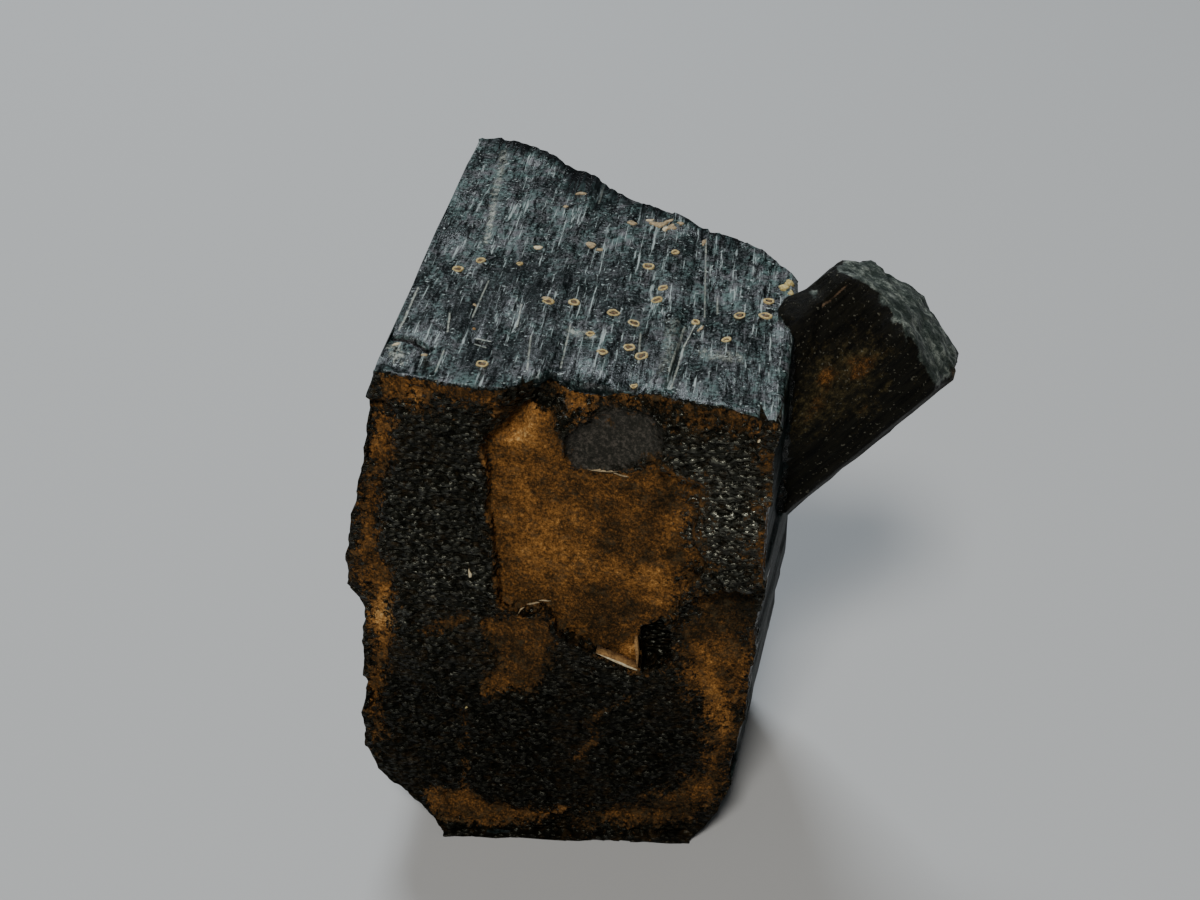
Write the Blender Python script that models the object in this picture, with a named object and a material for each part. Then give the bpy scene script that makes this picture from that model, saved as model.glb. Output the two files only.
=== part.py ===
"""Ilvaite crystal: a stout black prism lying on one of its side faces, with a smaller
crystal grown slantwise out of its right flank.

Both crystals grew together and share one body, so the object is one solid.  The prism's
long axis runs front to back.  Its front end is the rough natural termination, its back
end is an old oblique break, and its side faces carry ribs along the axis.

The shape is laid out in millimetres from the solid's lowest corner: "across" to the
right, "back" away from the front, "up" from the base.  The mesh itself is in metres, with
its origin at the bottom centre of its bounding box.
"""
import random

import bpy
import bmesh
from mathutils import Vector, noise

# ---------------------------------------------------------------- driving dimensions (mm)
MM = 0.001
TOP = 30.3                     # level of the upper side face above the base
LEFT_EDGE = 2.4                # where the upper side face begins, across
RIGHT_EDGE = 21.9              # where it ends
REAR_REACH = 36.0              # the untrimmed prism runs past both ends
FRONT_REACH = -6.0
FLARE_START = 2.0              # the right flank widens between these two depths
FLARE_END = 12.0
RING_DEPTHS = (FRONT_REACH, FLARE_START, 7.0, FLARE_END, 18.0, 24.0, REAR_REACH)

RIB_WIDTHS = (0.9, 2.1)        # narrowest and widest rib on the side faces
TOP_RIB_DEPTH = 0.26
FLANK_RIB_DEPTH = 0.26
RIB_STEP = 0.05                # share of a rib's width taken by the slope at each side

TRIM_CELL = 0.82               # grid of the two end surfaces
TRIM_LOW = (-2.0, -1.5)        # their lowest corner, across and up
TRIM_HIGH = (24.5, 32.3)
SKIN_LUMPS = 0.16              # swelling of the front end's crust
BREAK_LUMPS = 0.9              # relief of the broken back end
BREAK_TERRACE = 0.7            # height of its steps
BREAK_START = (1.0, 31.6)      # the oblique break: a place across and its depth
BREAK_SLOPE = 0.82             # depth that it loses for each millimetre across
BREAK_BLEND = 6.0              # the upper edge's own line fades out this far below it
BREAK_LEAN = 0.03              # it leans back a little towards the base
WORN_HEIGHT = 9.0              # its foot is worn back from this height down
WORN_DEPTH = 1.8

SIDE_END = Vector((26.8, 11.1, 29.6))       # middle of the small crystal's end face
SIDE_AXIS = Vector((0.67, 0.07, 0.739)).normalized()
SIDE_TOWARD = Vector((0.695, -0.411, -0.590))
SIDE_LENGTH = 16.5             # to its root, inside the large crystal
SIDE_DOME = 0.75               # how far its end face bulges
SIDE_WEAR = 0.45               # rounding of its end's rim
SIDE_RIB_DEPTH = 0.14

# The prism's section: base, right flank from the base up, and left flank from the top
# down.  The third number of a right flank point is how far it moves out with the flare.
RIGHT_FLANK = [
    (18.2, 0.0, 0.3), (19.6, 1.7, 0.5), (20.2, 4.4, 1.1), (20.7, 8.9, 1.3),
    (21.15, 14.4, 1.4), (21.4, 18.0, 1.3), (21.5, 26.0, 1.0), (21.65, 29.8, 0.45),
]
CHAMFER = (21.3, TOP, 0.4)
LEFT_FLANK = [
    (LEFT_EDGE, TOP), (2.15, 29.6), (1.6, 26.9), (0.9, 23.4), (0.1, 20.0), (-0.2, 17.5),
    (-0.1, 16.5), (0.5, 16.0), (0.35, 12.6), (0.0, 7.8), (0.1, 5.6), (0.5, 4.4),
    (2.8, 1.9), (4.2, 0.0),
]

# Depth of the front end's four corners: at its foot and its head, left then right.
FOOT_DEPTHS = (1.9, 3.2)
HEAD_DEPTHS = (2.5, 0.2)

# Depth of the upper face's front edge, scalloped where pieces have flaked off it.
FRONT_EDGE = [(0.0, 2.9), (2.4, 2.65), (8.3, 1.3), (11.3, 3.0), (17.7, 1.6), (21.8, 0.0)]
SCALLOP_HEIGHT = 1.7           # the scallops fade out this far below the edge
FOOT_LIPS = (0.65, 0.25)       # how far the end's foot stands out, left and right
FOOT_HEIGHT = 1.3

# Depth of the upper face's back edge, along the oblique break.
BACK_EDGE = [
    (0.0, 29.4), (2.4, 30.0), (3.9, 30.3), (5.9, 29.6), (8.1, 27.1), (10.0, 25.6),
    (12.4, 22.6), (14.6, 21.2), (17.0, 19.3), (18.7, 18.7), (20.4, 16.6), (22.1, 14.1),
    (25.0, 10.5),
]

# Places on the front end where crust has flaked off: outline as (across, up), and the
# depth at the outline's lowest and highest place.
CENTRE_PLATE = [
    (7.6, 26.6), (7.7, 22.3), (7.9, 16.9), (9.3, 16.4), (10.6, 16.9), (11.1, 15.4),
    (12.9, 14.3), (15.1, 13.3), (15.3, 15.7), (17.1, 16.8), (17.3, 19.3), (18.5, 20.8),
    (17.8, 22.5), (18.0, 25.9), (15.8, 26.6), (14.4, 25.5), (11.8, 25.4), (10.8, 28.6),
]
CENTRE_DEPTH = (0.55, 0.55)
GREY_FACET = [
    (11.7, 27.9), (11.5, 25.2), (14.6, 25.2), (15.9, 26.5), (16.5, 28.6), (15.2, 29.5),
    (13.5, 29.5),
]
FACET_DEPTH = (0.5, 0.05)
# This one's floor slopes, so its corners have a depth of their own: (across, up, depth).
RIGHT_SCAR = [
    (16.9, 15.6, 0.35), (17.5, 18.5, 0.75), (19.2, 19.5, 0.95), (24.0, 19.7, 1.1),
    (24.0, 3.0, 0.8), (20.2, 4.6, 0.12), (18.9, 8.0, 0.02), (17.6, 11.4, 0.02),
    (16.5, 13.4, 0.08),
]
PIT = [(15.3, 13.3), (15.1, 14.8), (15.3, 16.0), (16.2, 16.4), (16.9, 15.9), (16.6, 13.9)]
PIT_DEPTH = (1.3, 1.3)
LEFT_SCAR = [
    (-2.0, 28.4), (3.3, 28.6), (2.8, 24.6), (2.0, 22.7), (1.8, 19.0), (2.4, 16.9),
    (2.0, 13.2), (1.3, 9.6), (-2.0, 8.0),
]
LEFT_DEPTH = (0.4, 0.4)
FOOT_SCAR = [
    (4.3, 3.1), (5.8, 2.6), (8.1, 1.8), (10.2, 1.6), (13.1, 2.0), (17.6, 2.7),
    (18.2, 0.6), (13.1, 0.4), (9.0, 0.35), (5.1, 0.5),
]
FOOT_DEPTH = (0.2, 0.3)

# A notch runs from the top edge down to the centre plate.  Each row is a place along it:
# the left lip, the bottom with its depth, and the right lip.
NOTCH = [
    ((10.6, 32.0), (11.6, 32.0, 1.0), (12.8, 32.0)),
    ((9.4, 29.9), (10.6, 29.4, 1.15), (12.2, 29.4)),
    ((8.3, 28.4), (9.1, 27.9, 1.25), (10.4, 27.8)),
    ((7.5, 27.1), (8.1, 26.6, 0.9), (9.4, 26.2)),
]

# The small crystal's section: offsets along its two section axes, and how far the end
# face reaches out along the crystal's axis at that corner.
SIDE_SECTION = [
    (-4.0, 2.1, 0.0), (-2.85, 3.0, 1.0), (0.95, 4.0, 1.2), (3.9, 2.1, 0.3),
    (4.1, -0.5, 0.7), (3.6, -3.6, 0.7), (-0.1, -5.0, 0.9), (-3.5, -3.6, 0.4),
    (-4.1, -1.5, 0.1),
]


# A lump where the two crystals meet, over the large one's upper right edge.
ROOT_LUMP = [
    (20.95, 9.2, 30.15), (21.2, 9.3, 30.75), (21.3, 10.6, 30.8), (22.45, 10.7, 31.6),
    (23.2, 9.35, 31.45), (22.2, 8.9, 30.9), (23.0, 8.4, 29.6), (22.0, 8.25, 29.3),
    (21.85, 8.5, 30.4), (22.2, 8.0, 28.0), (23.0, 10.5, 28.5), (21.4, 10.4, 29.5),
    (23.6, 10.2, 30.5), (21.4, 8.7, 30.05),
]


# ---------------------------------------------------------------- small helpers
def clear_scene():
    for thing in list(bpy.data.objects):
        bpy.data.objects.remove(thing, do_unlink=True)


def between(points, place):
    """Second number of a run of points, read off in a straight line at a place."""
    if place <= points[0][0]:
        return points[0][1]
    for (x0, y0), (x1, y1) in zip(points, points[1:]):
        if place <= x1:
            return y0 + (y1 - y0) * (place - x0) / (x1 - x0)
    return points[-1][1]


def clamp(value):
    return min(1.0, max(0.0, value))


def lump(across, up, cell, layer):
    """Smooth swelling between -1 and 1, the same on each run."""
    return noise.noise(Vector((across / cell, up / cell, layer)))


def add_object(name, bm):
    """Turn a mesh laid out in millimetres into an object in metres."""
    bmesh.ops.recalc_face_normals(bm, faces=bm.faces)
    bmesh.ops.scale(bm, vec=(MM, MM, MM), verts=bm.verts)
    mesh = bpy.data.meshes.new(name)
    bm.to_mesh(mesh)
    bm.free()
    thing = bpy.data.objects.new(name, mesh)
    bpy.context.scene.collection.objects.link(thing)
    return thing


def combine(body, tool, operation):
    """Apply an exact Boolean of the tool to the body, then drop the tool."""
    tool.hide_render = True
    tool.display_type = 'WIRE'
    change = body.modifiers.new(tool.name, 'BOOLEAN')
    change.operation = operation
    change.solver = 'EXACT'
    change.object = tool
    graph = bpy.context.evaluated_depsgraph_get()
    mesh = bpy.data.meshes.new_from_object(body.evaluated_get(graph))
    body.modifiers.clear()
    body.data = mesh
    bpy.data.objects.remove(tool, do_unlink=True)


def loft(name, rings):
    """Closed skin over rings that all have the same number of points."""
    bm = bmesh.new()
    rows = [[bm.verts.new(point) for point in ring] for ring in rings]
    count = len(rings[0])
    for near, far in zip(rows, rows[1:]):
        for i in range(count):
            j = (i + 1) % count
            bm.faces.new((near[i], near[j], far[j], far[i]))
    caps = [bm.faces.new(rows[0]), bm.faces.new(list(reversed(rows[-1])))]
    bmesh.ops.triangulate(bm, faces=caps)
    return add_object(name, bm)


# ---------------------------------------------------------------- the large crystal
def plan_ribs(length, depth, rng):
    """Ribs along a side as shares of its length, with a depth at the front and back."""
    ribs = []
    start = 0.0
    while start < length - RIB_WIDTHS[0]:
        end = min(length, start + rng.uniform(*RIB_WIDTHS))
        ribs.append((start / length, end / length, rng.uniform(0, depth), rng.uniform(0, depth)))
        start = end
    return ribs


def along(corners, share):
    """Point at a share of a side's length, and the direction into the crystal there."""
    runs = [(b - a).length for a, b in zip(corners, corners[1:])]
    rest = share * sum(runs)
    for a, b, run in zip(corners, corners[1:], runs):
        if rest <= run or b is corners[-1]:
            heading = (b - a).normalized()
            return a + heading * rest, Vector((-heading.y, heading.x))
        rest -= run


def ribbed_side(corners, ribs, mix):
    """A side's points with its ribs sunk into it; mix runs from front to back."""
    points = [corners[0]]
    for start, end, front, back in ribs:
        sink = front + (back - front) * mix
        slope = (end - start) * RIB_STEP
        for share in (start + slope, end - slope):
            point, inward = along(corners, share)
            points.append(point + inward * sink)
    points.append(corners[-1])
    return points


def prism_corners(depth):
    """The section's three ribbed sides at a depth: right flank, top and left flank."""
    flare = clamp((depth - FLARE_START) / (FLARE_END - FLARE_START))
    right = [Vector((across + out * flare, up)) for across, up, out in RIGHT_FLANK]
    inner = Vector((CHAMFER[0] + CHAMFER[2] * flare, CHAMFER[1]))
    left = [Vector(point) for point in LEFT_FLANK]
    return right, [inner, left[0]], left


def side_length(corners):
    return sum((b - a).length for a, b in zip(corners, corners[1:]))


def long_prism():
    """The striated prism before its two ends are trimmed."""
    rng = random.Random(11)
    depths = (TOP_RIB_DEPTH, FLANK_RIB_DEPTH)
    right, top, left = prism_corners(FLARE_END)
    plans = [
        plan_ribs(side_length(right), depths[1], rng),
        plan_ribs(side_length(top), depths[0], rng),
        plan_ribs(side_length(left), depths[1], rng),
    ]
    rings = []
    for depth in RING_DEPTHS:
        mix = clamp(depth / REAR_REACH)
        ring = []
        for corners, ribs in zip(prism_corners(depth), plans):
            side = ribbed_side(corners, ribs, mix)
            ring += side[1:] if ring and (side[0] - ring[-1]).length < 1e-6 else side
        rings.append([(point.x, depth, point.y) for point in ring])
    return loft("prism", rings)


def front_depth(across, up):
    """Depth of the front end: a slightly twisted plane with a scalloped top edge."""
    s = (across - LEFT_EDGE) / (RIGHT_EDGE - LEFT_EDGE)
    t = up / TOP
    foot_line = FOOT_DEPTHS[0] + (FOOT_DEPTHS[1] - FOOT_DEPTHS[0]) * s
    head_line = HEAD_DEPTHS[0] + (HEAD_DEPTHS[1] - HEAD_DEPTHS[0]) * s
    plane = foot_line * (1 - t) + head_line * t
    fade = clamp((up - TOP + SCALLOP_HEIGHT) / SCALLOP_HEIGHT)
    scallop = (between(FRONT_EDGE, across) - plane) * fade
    lip = FOOT_LIPS[0] * (1 - s) + FOOT_LIPS[1] * s
    foot = lip * clamp((FOOT_HEIGHT - up) / FOOT_HEIGHT)
    return plane + scallop - foot


def front_surface(across, up):
    swelling = lump(across, up, 2.6, 0.3) + 0.7 * lump(across, up, 1.3, 4.7)
    return front_depth(across, up) + SKIN_LUMPS * swelling


def back_surface(across, up):
    """Depth of the broken end: the oblique edge carried down in uneven steps."""
    below = TOP - up
    edge = between(BACK_EDGE, across)
    plane = BREAK_START[1] - BREAK_SLOPE * (across - BREAK_START[0])
    deep = clamp(below / BREAK_BLEND)
    rough = BREAK_LUMPS * (1.6 * lump(across, up, 9.0, 8.1) + lump(across, up, 3.4, 2.9))
    stepped = BREAK_TERRACE * round(rough / BREAK_TERRACE)
    worn = 0.45 * rough + 0.55 * stepped
    corner = WORN_DEPTH * clamp((WORN_HEIGHT - up) / WORN_HEIGHT) ** 2
    return edge + (plane - edge) * deep * 0.7 + worn * deep + BREAK_LEAN * below - corner


def trimming_block():
    """Everything between the two end surfaces, wider and taller than the prism."""
    low_across, low_up = TRIM_LOW
    columns = round((TRIM_HIGH[0] - low_across) / TRIM_CELL)
    rows = round((TRIM_HIGH[1] - low_up) / TRIM_CELL)
    bm = bmesh.new()
    sheets = []
    for surface in (front_surface, back_surface):
        sheet = []
        for j in range(rows + 1):
            up = low_up + j * TRIM_CELL
            line = []
            for i in range(columns + 1):
                across = low_across + i * TRIM_CELL
                line.append(bm.verts.new((across, surface(across, up), up)))
            sheet.append(line)
        sheets.append(sheet)
        for j in range(rows):
            for i in range(columns):
                cell = (sheet[j][i], sheet[j][i + 1], sheet[j + 1][i + 1], sheet[j + 1][i])
                bmesh.ops.triangulate(bm, faces=[bm.faces.new(cell)])
    rims = []
    for sheet in sheets:
        rim = list(sheet[0])
        rim += [line[-1] for line in sheet[1:]]
        rim += list(reversed(sheet[-1][:-1]))
        rim += [line[0] for line in reversed(sheet[1:-1])]
        rims.append(rim)
    for i in range(len(rims[0])):
        j = (i + 1) % len(rims[0])
        bm.faces.new((rims[0][i], rims[0][j], rims[1][j], rims[1][i]))
    return add_object("trim", bm)


def scar_cutter(name, outline, depths):
    """What flaked off the front end: its floor follows the end at the depths given."""
    bm = bmesh.new()
    lowest = min(corner[1] for corner in outline)
    highest = max(corner[1] for corner in outline)
    floor = []
    mouth = []
    for across, up, *own in outline:
        share = (up - lowest) / (highest - lowest)
        depth = own[0] if own else depths[0] + (depths[1] - depths[0]) * share
        floor.append(bm.verts.new((across, front_depth(across, up) + depth, up)))
        mouth.append(bm.verts.new((across, FRONT_REACH, up)))
    faces = [bm.faces.new(floor), bm.faces.new(list(reversed(mouth)))]
    for i in range(len(outline)):
        j = (i + 1) % len(outline)
        bm.faces.new((mouth[i], mouth[j], floor[j], floor[i]))
    bmesh.ops.triangulate(bm, faces=faces)
    return add_object(name, bm)


def notch_cutter():
    """The trench with a steep left wall that runs down from the top edge."""
    rings = []
    for left, bottom, right in NOTCH:
        left_depth = front_depth(*left)
        bottom_depth = front_depth(bottom[0], bottom[1]) + bottom[2]
        right_depth = front_depth(*right)
        rings.append([
            (left[0], FRONT_REACH, left[1]),
            (left[0], left_depth, left[1]),
            (bottom[0], bottom_depth, bottom[1]),
            (right[0], right_depth, right[1]),
            (right[0], FRONT_REACH, right[1]),
        ])
    return loft("notch", rings)


# ---------------------------------------------------------------- the small crystal
def side_crystal():
    """The slanting crystal, from its root inside the large one to its worn, domed end."""
    toward = (SIDE_TOWARD - SIDE_AXIS * SIDE_TOWARD.dot(SIDE_AXIS)).normalized()
    facing = SIDE_AXIS.cross(toward)
    if facing.y > 0:
        facing = -facing
    rng = random.Random(5)
    rim = []
    for i, (s, t, reach) in enumerate(SIDE_SECTION):
        s2, t2, reach2 = SIDE_SECTION[(i + 1) % len(SIDE_SECTION)]
        rim.append((s, t, reach))
        parts = max(2, round(Vector((s2 - s, t2 - t)).length / 1.3))
        for k in range(1, parts):
            share = k / parts
            sink = 1 - rng.uniform(0, SIDE_RIB_DEPTH) / 4.0
            rim.append((
                (s + (s2 - s) * share) * sink,
                (t + (t2 - t) * share) * sink,
                reach + (reach2 - reach) * share + rng.uniform(-0.12, 0.12),
            ))

    def ring(scale, along_axis, follow):
        return [
            SIDE_END + toward * s * scale + facing * t * scale
            + SIDE_AXIS * (along_axis + reach * follow)
            for s, t, reach in rim
        ]

    rings = [ring(1.0, -SIDE_LENGTH, 0.0), ring(1.0, -5.5, 0.0)]
    rings += [ring(1.0, -SIDE_WEAR, 1.0), ring(0.93, 0.0, 1.0)]
    rings += [ring(0.7, SIDE_DOME * 0.45, 0.8), ring(0.35, SIDE_DOME, 0.5)]
    return loft("side", rings)


def root_lump():
    """The smallest solid with flat faces around the lump's corners."""
    bm = bmesh.new()
    for corner in ROOT_LUMP:
        bm.verts.new(corner)
    bmesh.ops.convex_hull(bm, input=bm.verts)
    loose = [vert for vert in bm.verts if not vert.link_faces]
    bmesh.ops.delete(bm, geom=loose, context='VERTS')
    return add_object("root_lump", bm)


# ---------------------------------------------------------------- the whole specimen
def stone_material():
    material = bpy.data.materials.new("ilvaite")
    material.use_nodes = True
    shader = material.node_tree.nodes["Principled BSDF"]
    shader.inputs["Base Color"].default_value = (0.022, 0.022, 0.024, 1.0)
    shader.inputs["Roughness"].default_value = 0.42
    shader.inputs["Metallic"].default_value = 0.0
    return material


def settle_on_origin(thing):
    """Move the mesh so that its box stands on the origin, centred."""
    xs, ys, zs = zip(*(vertex.co for vertex in thing.data.vertices))
    middle = Vector(((min(xs) + max(xs)) / 2, (min(ys) + max(ys)) / 2, min(zs)))
    for vertex in thing.data.vertices:
        vertex.co -= middle


def build():
    clear_scene()
    crystal = long_prism()
    combine(crystal, trimming_block(), 'INTERSECT')
    scars = (
        ("centre_plate", CENTRE_PLATE, CENTRE_DEPTH),
        ("grey_facet", GREY_FACET, FACET_DEPTH),
        ("right_scar", RIGHT_SCAR, None),
        ("pit", PIT, PIT_DEPTH),
        ("left_scar", LEFT_SCAR, LEFT_DEPTH),
        ("foot_scar", FOOT_SCAR, FOOT_DEPTH),
    )
    for name, outline, depths in scars:
        combine(crystal, scar_cutter(name, outline, depths), 'DIFFERENCE')
    combine(crystal, notch_cutter(), 'DIFFERENCE')
    combine(crystal, side_crystal(), 'UNION')
    combine(crystal, root_lump(), 'UNION')
    crystal.name = "ilvaite_crystal"
    crystal.data.name = "ilvaite_crystal"
    crystal.data.materials.clear()
    crystal.data.materials.append(stone_material())
    settle_on_origin(crystal)


build()
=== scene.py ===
# %% [markdown]
# # An ilvaite crystal
#
# The object is a stout black crystal lying on one of its side faces, with a smaller crystal
# grown slantwise out of its right flank.  The CAD solid already has the true outline, so
# this lesson keeps it as the frame and grows the fine surface on a copy: the ribs along
# the side faces, the pebbled crust of the front end, the flaked places and the rust.

# %% Load the frame
import math

import bpy
import bmesh
import numpy as np
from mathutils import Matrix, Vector
from mathutils.bvhtree import BVHTree


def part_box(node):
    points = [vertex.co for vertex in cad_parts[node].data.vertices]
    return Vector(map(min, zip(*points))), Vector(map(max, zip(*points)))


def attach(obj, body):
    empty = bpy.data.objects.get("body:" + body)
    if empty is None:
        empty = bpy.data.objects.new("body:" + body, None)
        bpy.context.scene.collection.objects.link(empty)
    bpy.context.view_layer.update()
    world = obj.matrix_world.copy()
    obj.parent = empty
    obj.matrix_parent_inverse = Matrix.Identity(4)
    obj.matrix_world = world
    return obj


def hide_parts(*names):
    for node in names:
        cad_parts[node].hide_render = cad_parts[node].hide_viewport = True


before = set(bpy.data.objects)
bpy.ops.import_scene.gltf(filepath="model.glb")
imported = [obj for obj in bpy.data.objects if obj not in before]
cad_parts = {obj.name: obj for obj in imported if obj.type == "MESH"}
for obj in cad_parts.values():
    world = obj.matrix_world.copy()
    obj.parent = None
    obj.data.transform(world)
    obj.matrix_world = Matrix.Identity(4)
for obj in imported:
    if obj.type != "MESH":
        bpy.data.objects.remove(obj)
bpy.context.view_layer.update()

NODE = "ilvaite_crystal"
box_low, box_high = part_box(NODE)
print("solid, mm:", [round(1000 * side, 2) for side in box_high - box_low])

# %% [markdown]
# ## Places on the crystal
#
# A crystal has no centre lines to measure from, so every place is given in millimetres
# across from the left, back from the front and up from the base.  The solid's lowest
# corner ties those numbers to the frame.  One small function turns a place into metres.

# %% From millimetres to the frame
MM = 0.001
CORNER = np.array([-0.107, 0.091, 0.0])     # the solid's lowest corner in those measures
TOP = 30.3                                  # level of the upper side face


def to_metres(places):
    """Places in millimetres across, back and up, as points of the frame."""
    return (np.asarray(places, float) - CORNER) * MM + np.array(box_low)


def to_places(points):
    """Points of the frame as millimetres across, back and up."""
    return (np.asarray(points, float) - np.array(box_low)) / MM + CORNER


# %% [markdown]
# ## The camera
#
# A real close-up lens stands about ten centimetres from a crystal this small, which makes
# the near end look larger.  Blender's default near clipping is also ten centimetres, so it
# is brought closer.  The camera stands a little to the right and looks down at 34 degrees.

# %% Camera
LENS_MM = 48.0
CAMERA_AZIMUTH = 7.0
CAMERA_ELEVATION = 34.0
CAMERA_DISTANCE = 100.0
AIM = (10.7, 22.4, 13.0)


def look_from(azimuth, elevation):
    """Unit vector from the aim towards the camera; azimuth 0 looks along +Y."""
    a = math.radians(azimuth)
    e = math.radians(elevation)
    return Vector((math.sin(a) * math.cos(e), -math.cos(a) * math.cos(e), math.sin(e)))


camera_data = bpy.data.cameras.new("close_up")
camera_data.sensor_width = 36.0
camera_data.lens = LENS_MM
camera_data.clip_start = 0.001
camera_data.clip_end = 10.0
camera = bpy.data.objects.new("close_up", camera_data)
bpy.context.scene.collection.objects.link(camera)
backwards = look_from(CAMERA_AZIMUTH, CAMERA_ELEVATION)
camera.location = Vector(to_metres(AIM)) + backwards * CAMERA_DISTANCE * MM
camera.rotation_euler = backwards.to_track_quat("Z", "Y").to_euler()
bpy.context.scene.camera = camera
print("camera at, mm:", [round(1000 * value, 1) for value in camera.location])

# %% [markdown]
# ## Floor and light
#
# Black, glossy stone shows mostly what it reflects.  A broad soft light behind and to the
# left draws the ribs of the upper face as bright lines.  A smaller one stands high in front
# and gives every pebble of the front end its glint.  The floor is plain and pale.

# %% Floor
def plain_material(name, colour, roughness):
    material = bpy.data.materials.new(name)
    material.use_nodes = True
    shader = material.node_tree.nodes["Principled BSDF"]
    shader.inputs["Base Color"].default_value = (*colour, 1.0)
    shader.inputs["Roughness"].default_value = roughness
    return material


def flat_sheet(name, half, height):
    mesh = bpy.data.meshes.new(name)
    corners = [(-half, -half, height), (half, -half, height), (half, half, height), (-half, half, height)]
    mesh.from_pydata(corners, [], [(0, 1, 2, 3)])
    sheet = bpy.data.objects.new(name, mesh)
    bpy.context.scene.collection.objects.link(sheet)
    return sheet


floor = flat_sheet("floor", 1.5, box_low.z - 0.00002)
floor.data.materials.append(plain_material("pale_floor", (0.55, 0.555, 0.55), 0.8))

# %% Lights
def soft_light(name, azimuth, elevation, distance, size, watts, colour):
    """A square area light, aimed at the crystal."""
    data = bpy.data.lights.new(name, "AREA")
    data.shape = "SQUARE"
    data.size = size
    data.energy = watts
    data.color = colour
    light = bpy.data.objects.new(name, data)
    away = look_from(azimuth, elevation)
    light.location = Vector((0.0, 0.0, 0.015)) + away * distance
    light.rotation_euler = away.to_track_quat("Z", "Y").to_euler()
    bpy.context.scene.collection.objects.link(light)
    return light


soft_light("window", 205.0, 50.0, 0.55, 0.18, 1.9, (0.86, 0.93, 1.0))
soft_light("front_high", -5.0, 52.0, 0.60, 0.12, 2.2, (1.0, 0.97, 0.93))
world = bpy.data.worlds.new("studio_air")
world.use_nodes = True
world.node_tree.nodes["Background"].inputs["Color"].default_value = (0.75, 0.82, 0.9, 1.0)
world.node_tree.nodes["Background"].inputs["Strength"].default_value = 0.06
bpy.context.scene.world = world

# %% [markdown]
# ## A numeric noise kit
#
# Blender's texture nodes only colour a surface.  Shapes need the same kind of noise as
# numbers, for half a million points at once.  A hash of whole-number lattice points gives
# values that look random and are the same on each run.

# %% Value noise
def lattice(ix, iy, iz, layer):
    """A number from 0 to 1 for each lattice point."""
    h = ix * 374761393 + iy * 668265263 + iz * 1442695041 + layer * 974634777
    h = h & 0xFFFFFFFF
    h = ((h ^ (h >> 13)) * 1274126177) & 0xFFFFFFFF
    h = ((h ^ (h >> 16)) * 974634777) & 0xFFFFFFFF
    return ((h ^ (h >> 15)) & 0xFFFFFF) / float(0x1000000)


def smooth_noise(x, y, z, layer):
    """Smooth noise from -1 to 1 with one bump per unit."""
    ix, iy, iz = (np.floor(value).astype(np.int64) for value in (x, y, z))
    fx, fy, fz = x - ix, y - iy, z - iz
    fx, fy, fz = (f * f * f * (f * (f * 6 - 15) + 10) for f in (fx, fy, fz))
    total = np.zeros(len(x))
    for dx in (0, 1):
        for dy in (0, 1):
            for dz in (0, 1):
                share = (fx if dx else 1 - fx) * (fy if dy else 1 - fy) * (fz if dz else 1 - fz)
                total += share * lattice(ix + dx, iy + dy, iz + dz, layer)
    return total * 2 - 1


def layered_noise(x, y, z, layer, octaves):
    """Several smooth noises, each half the size and half the height of the one before."""
    total = np.zeros(len(x))
    height = 1.0
    for octave in range(octaves):
        total += height * smooth_noise(x, y, z, layer + 17 * octave)
        x, y, z = x * 2.03, y * 2.03, z * 2.03
        height *= 0.5
    return total


def face_noise(x, y, width, height, layer, octaves=1):
    """Noise over a face, with bumps of the width and height given in millimetres."""
    return layered_noise(x / width, y / height, 0 * x, layer, octaves)


# %% Pebbles
def pebbles(x, y, layer, reach):
    """Height from 0 to 1 of round pebbles scattered one to a unit square."""
    ix, iy = np.floor(x).astype(np.int64), np.floor(y).astype(np.int64)
    highest = np.zeros(len(x))
    for dx in (-1, 0, 1):
        for dy in (-1, 0, 1):
            px = ix + dx + lattice(ix + dx, iy + dy, 0 * ix, layer)
            py = iy + dy + lattice(ix + dx, iy + dy, 0 * ix, layer + 1)
            size = 0.55 + 0.45 * lattice(ix + dx, iy + dy, 0 * ix, layer + 2)
            away = ((x - px) ** 2 + (y - py) ** 2) / (reach * size) ** 2
            highest = np.maximum(highest, size * np.sqrt(np.clip(1 - away, 0, 1)))
    return highest


# %% Shapes drawn on a face
def gap_to_run(across, up, start, end):
    """Distance in millimetres to one straight run."""
    (x0, y0), (x1, y1) = start, end
    run = (x1 - x0) ** 2 + (y1 - y0) ** 2
    share = np.clip(((across - x0) * (x1 - x0) + (up - y0) * (y1 - y0)) / run, 0, 1)
    return np.hypot(across - x0 - share * (x1 - x0), up - y0 - share * (y1 - y0))


def distance_to_path(across, up, path):
    """Distance in millimetres to an open path of straight runs."""
    nearest = np.full(len(across), 1e9)
    for start, end in zip(path, path[1:]):
        nearest = np.minimum(nearest, gap_to_run(across, up, start, end))
    return nearest


def inside_by(across, up, outline):
    """How far inside a closed outline each place is, in millimetres; negative outside."""
    closed = outline + outline[:1]
    inside = np.zeros(len(across), bool)
    for (x0, y0), (x1, y1) in zip(closed, closed[1:]):
        if y0 != y1:
            crosses = (up < y0) != (up < y1)
            inside ^= crosses & (across < x0 + (up - y0) * (x1 - x0) / (y1 - y0))
    nearest = distance_to_path(across, up, closed)
    return np.where(inside, nearest, -nearest)


def ramp(value, low, high):
    """0 below low, 1 above high, smooth between."""
    share = np.clip((value - low) / (high - low), 0, 1)
    return share * share * (3 - 2 * share)


# %% [markdown]
# ## A fine skin over the solid
#
# The solid has about six thousand triangles, too few for pebbles half a millimetre wide.
# A copy is welded and remeshed with voxels of about a tenth of a millimetre.  A remesh
# keeps the true outline and rounds sharp edges by one voxel, as handling does to a real
# crystal.  The CAD solid itself is left untouched.

# %% Remesh a copy
SKIN_STEP = 0.10                            # millimetres between the skin's points


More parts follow.
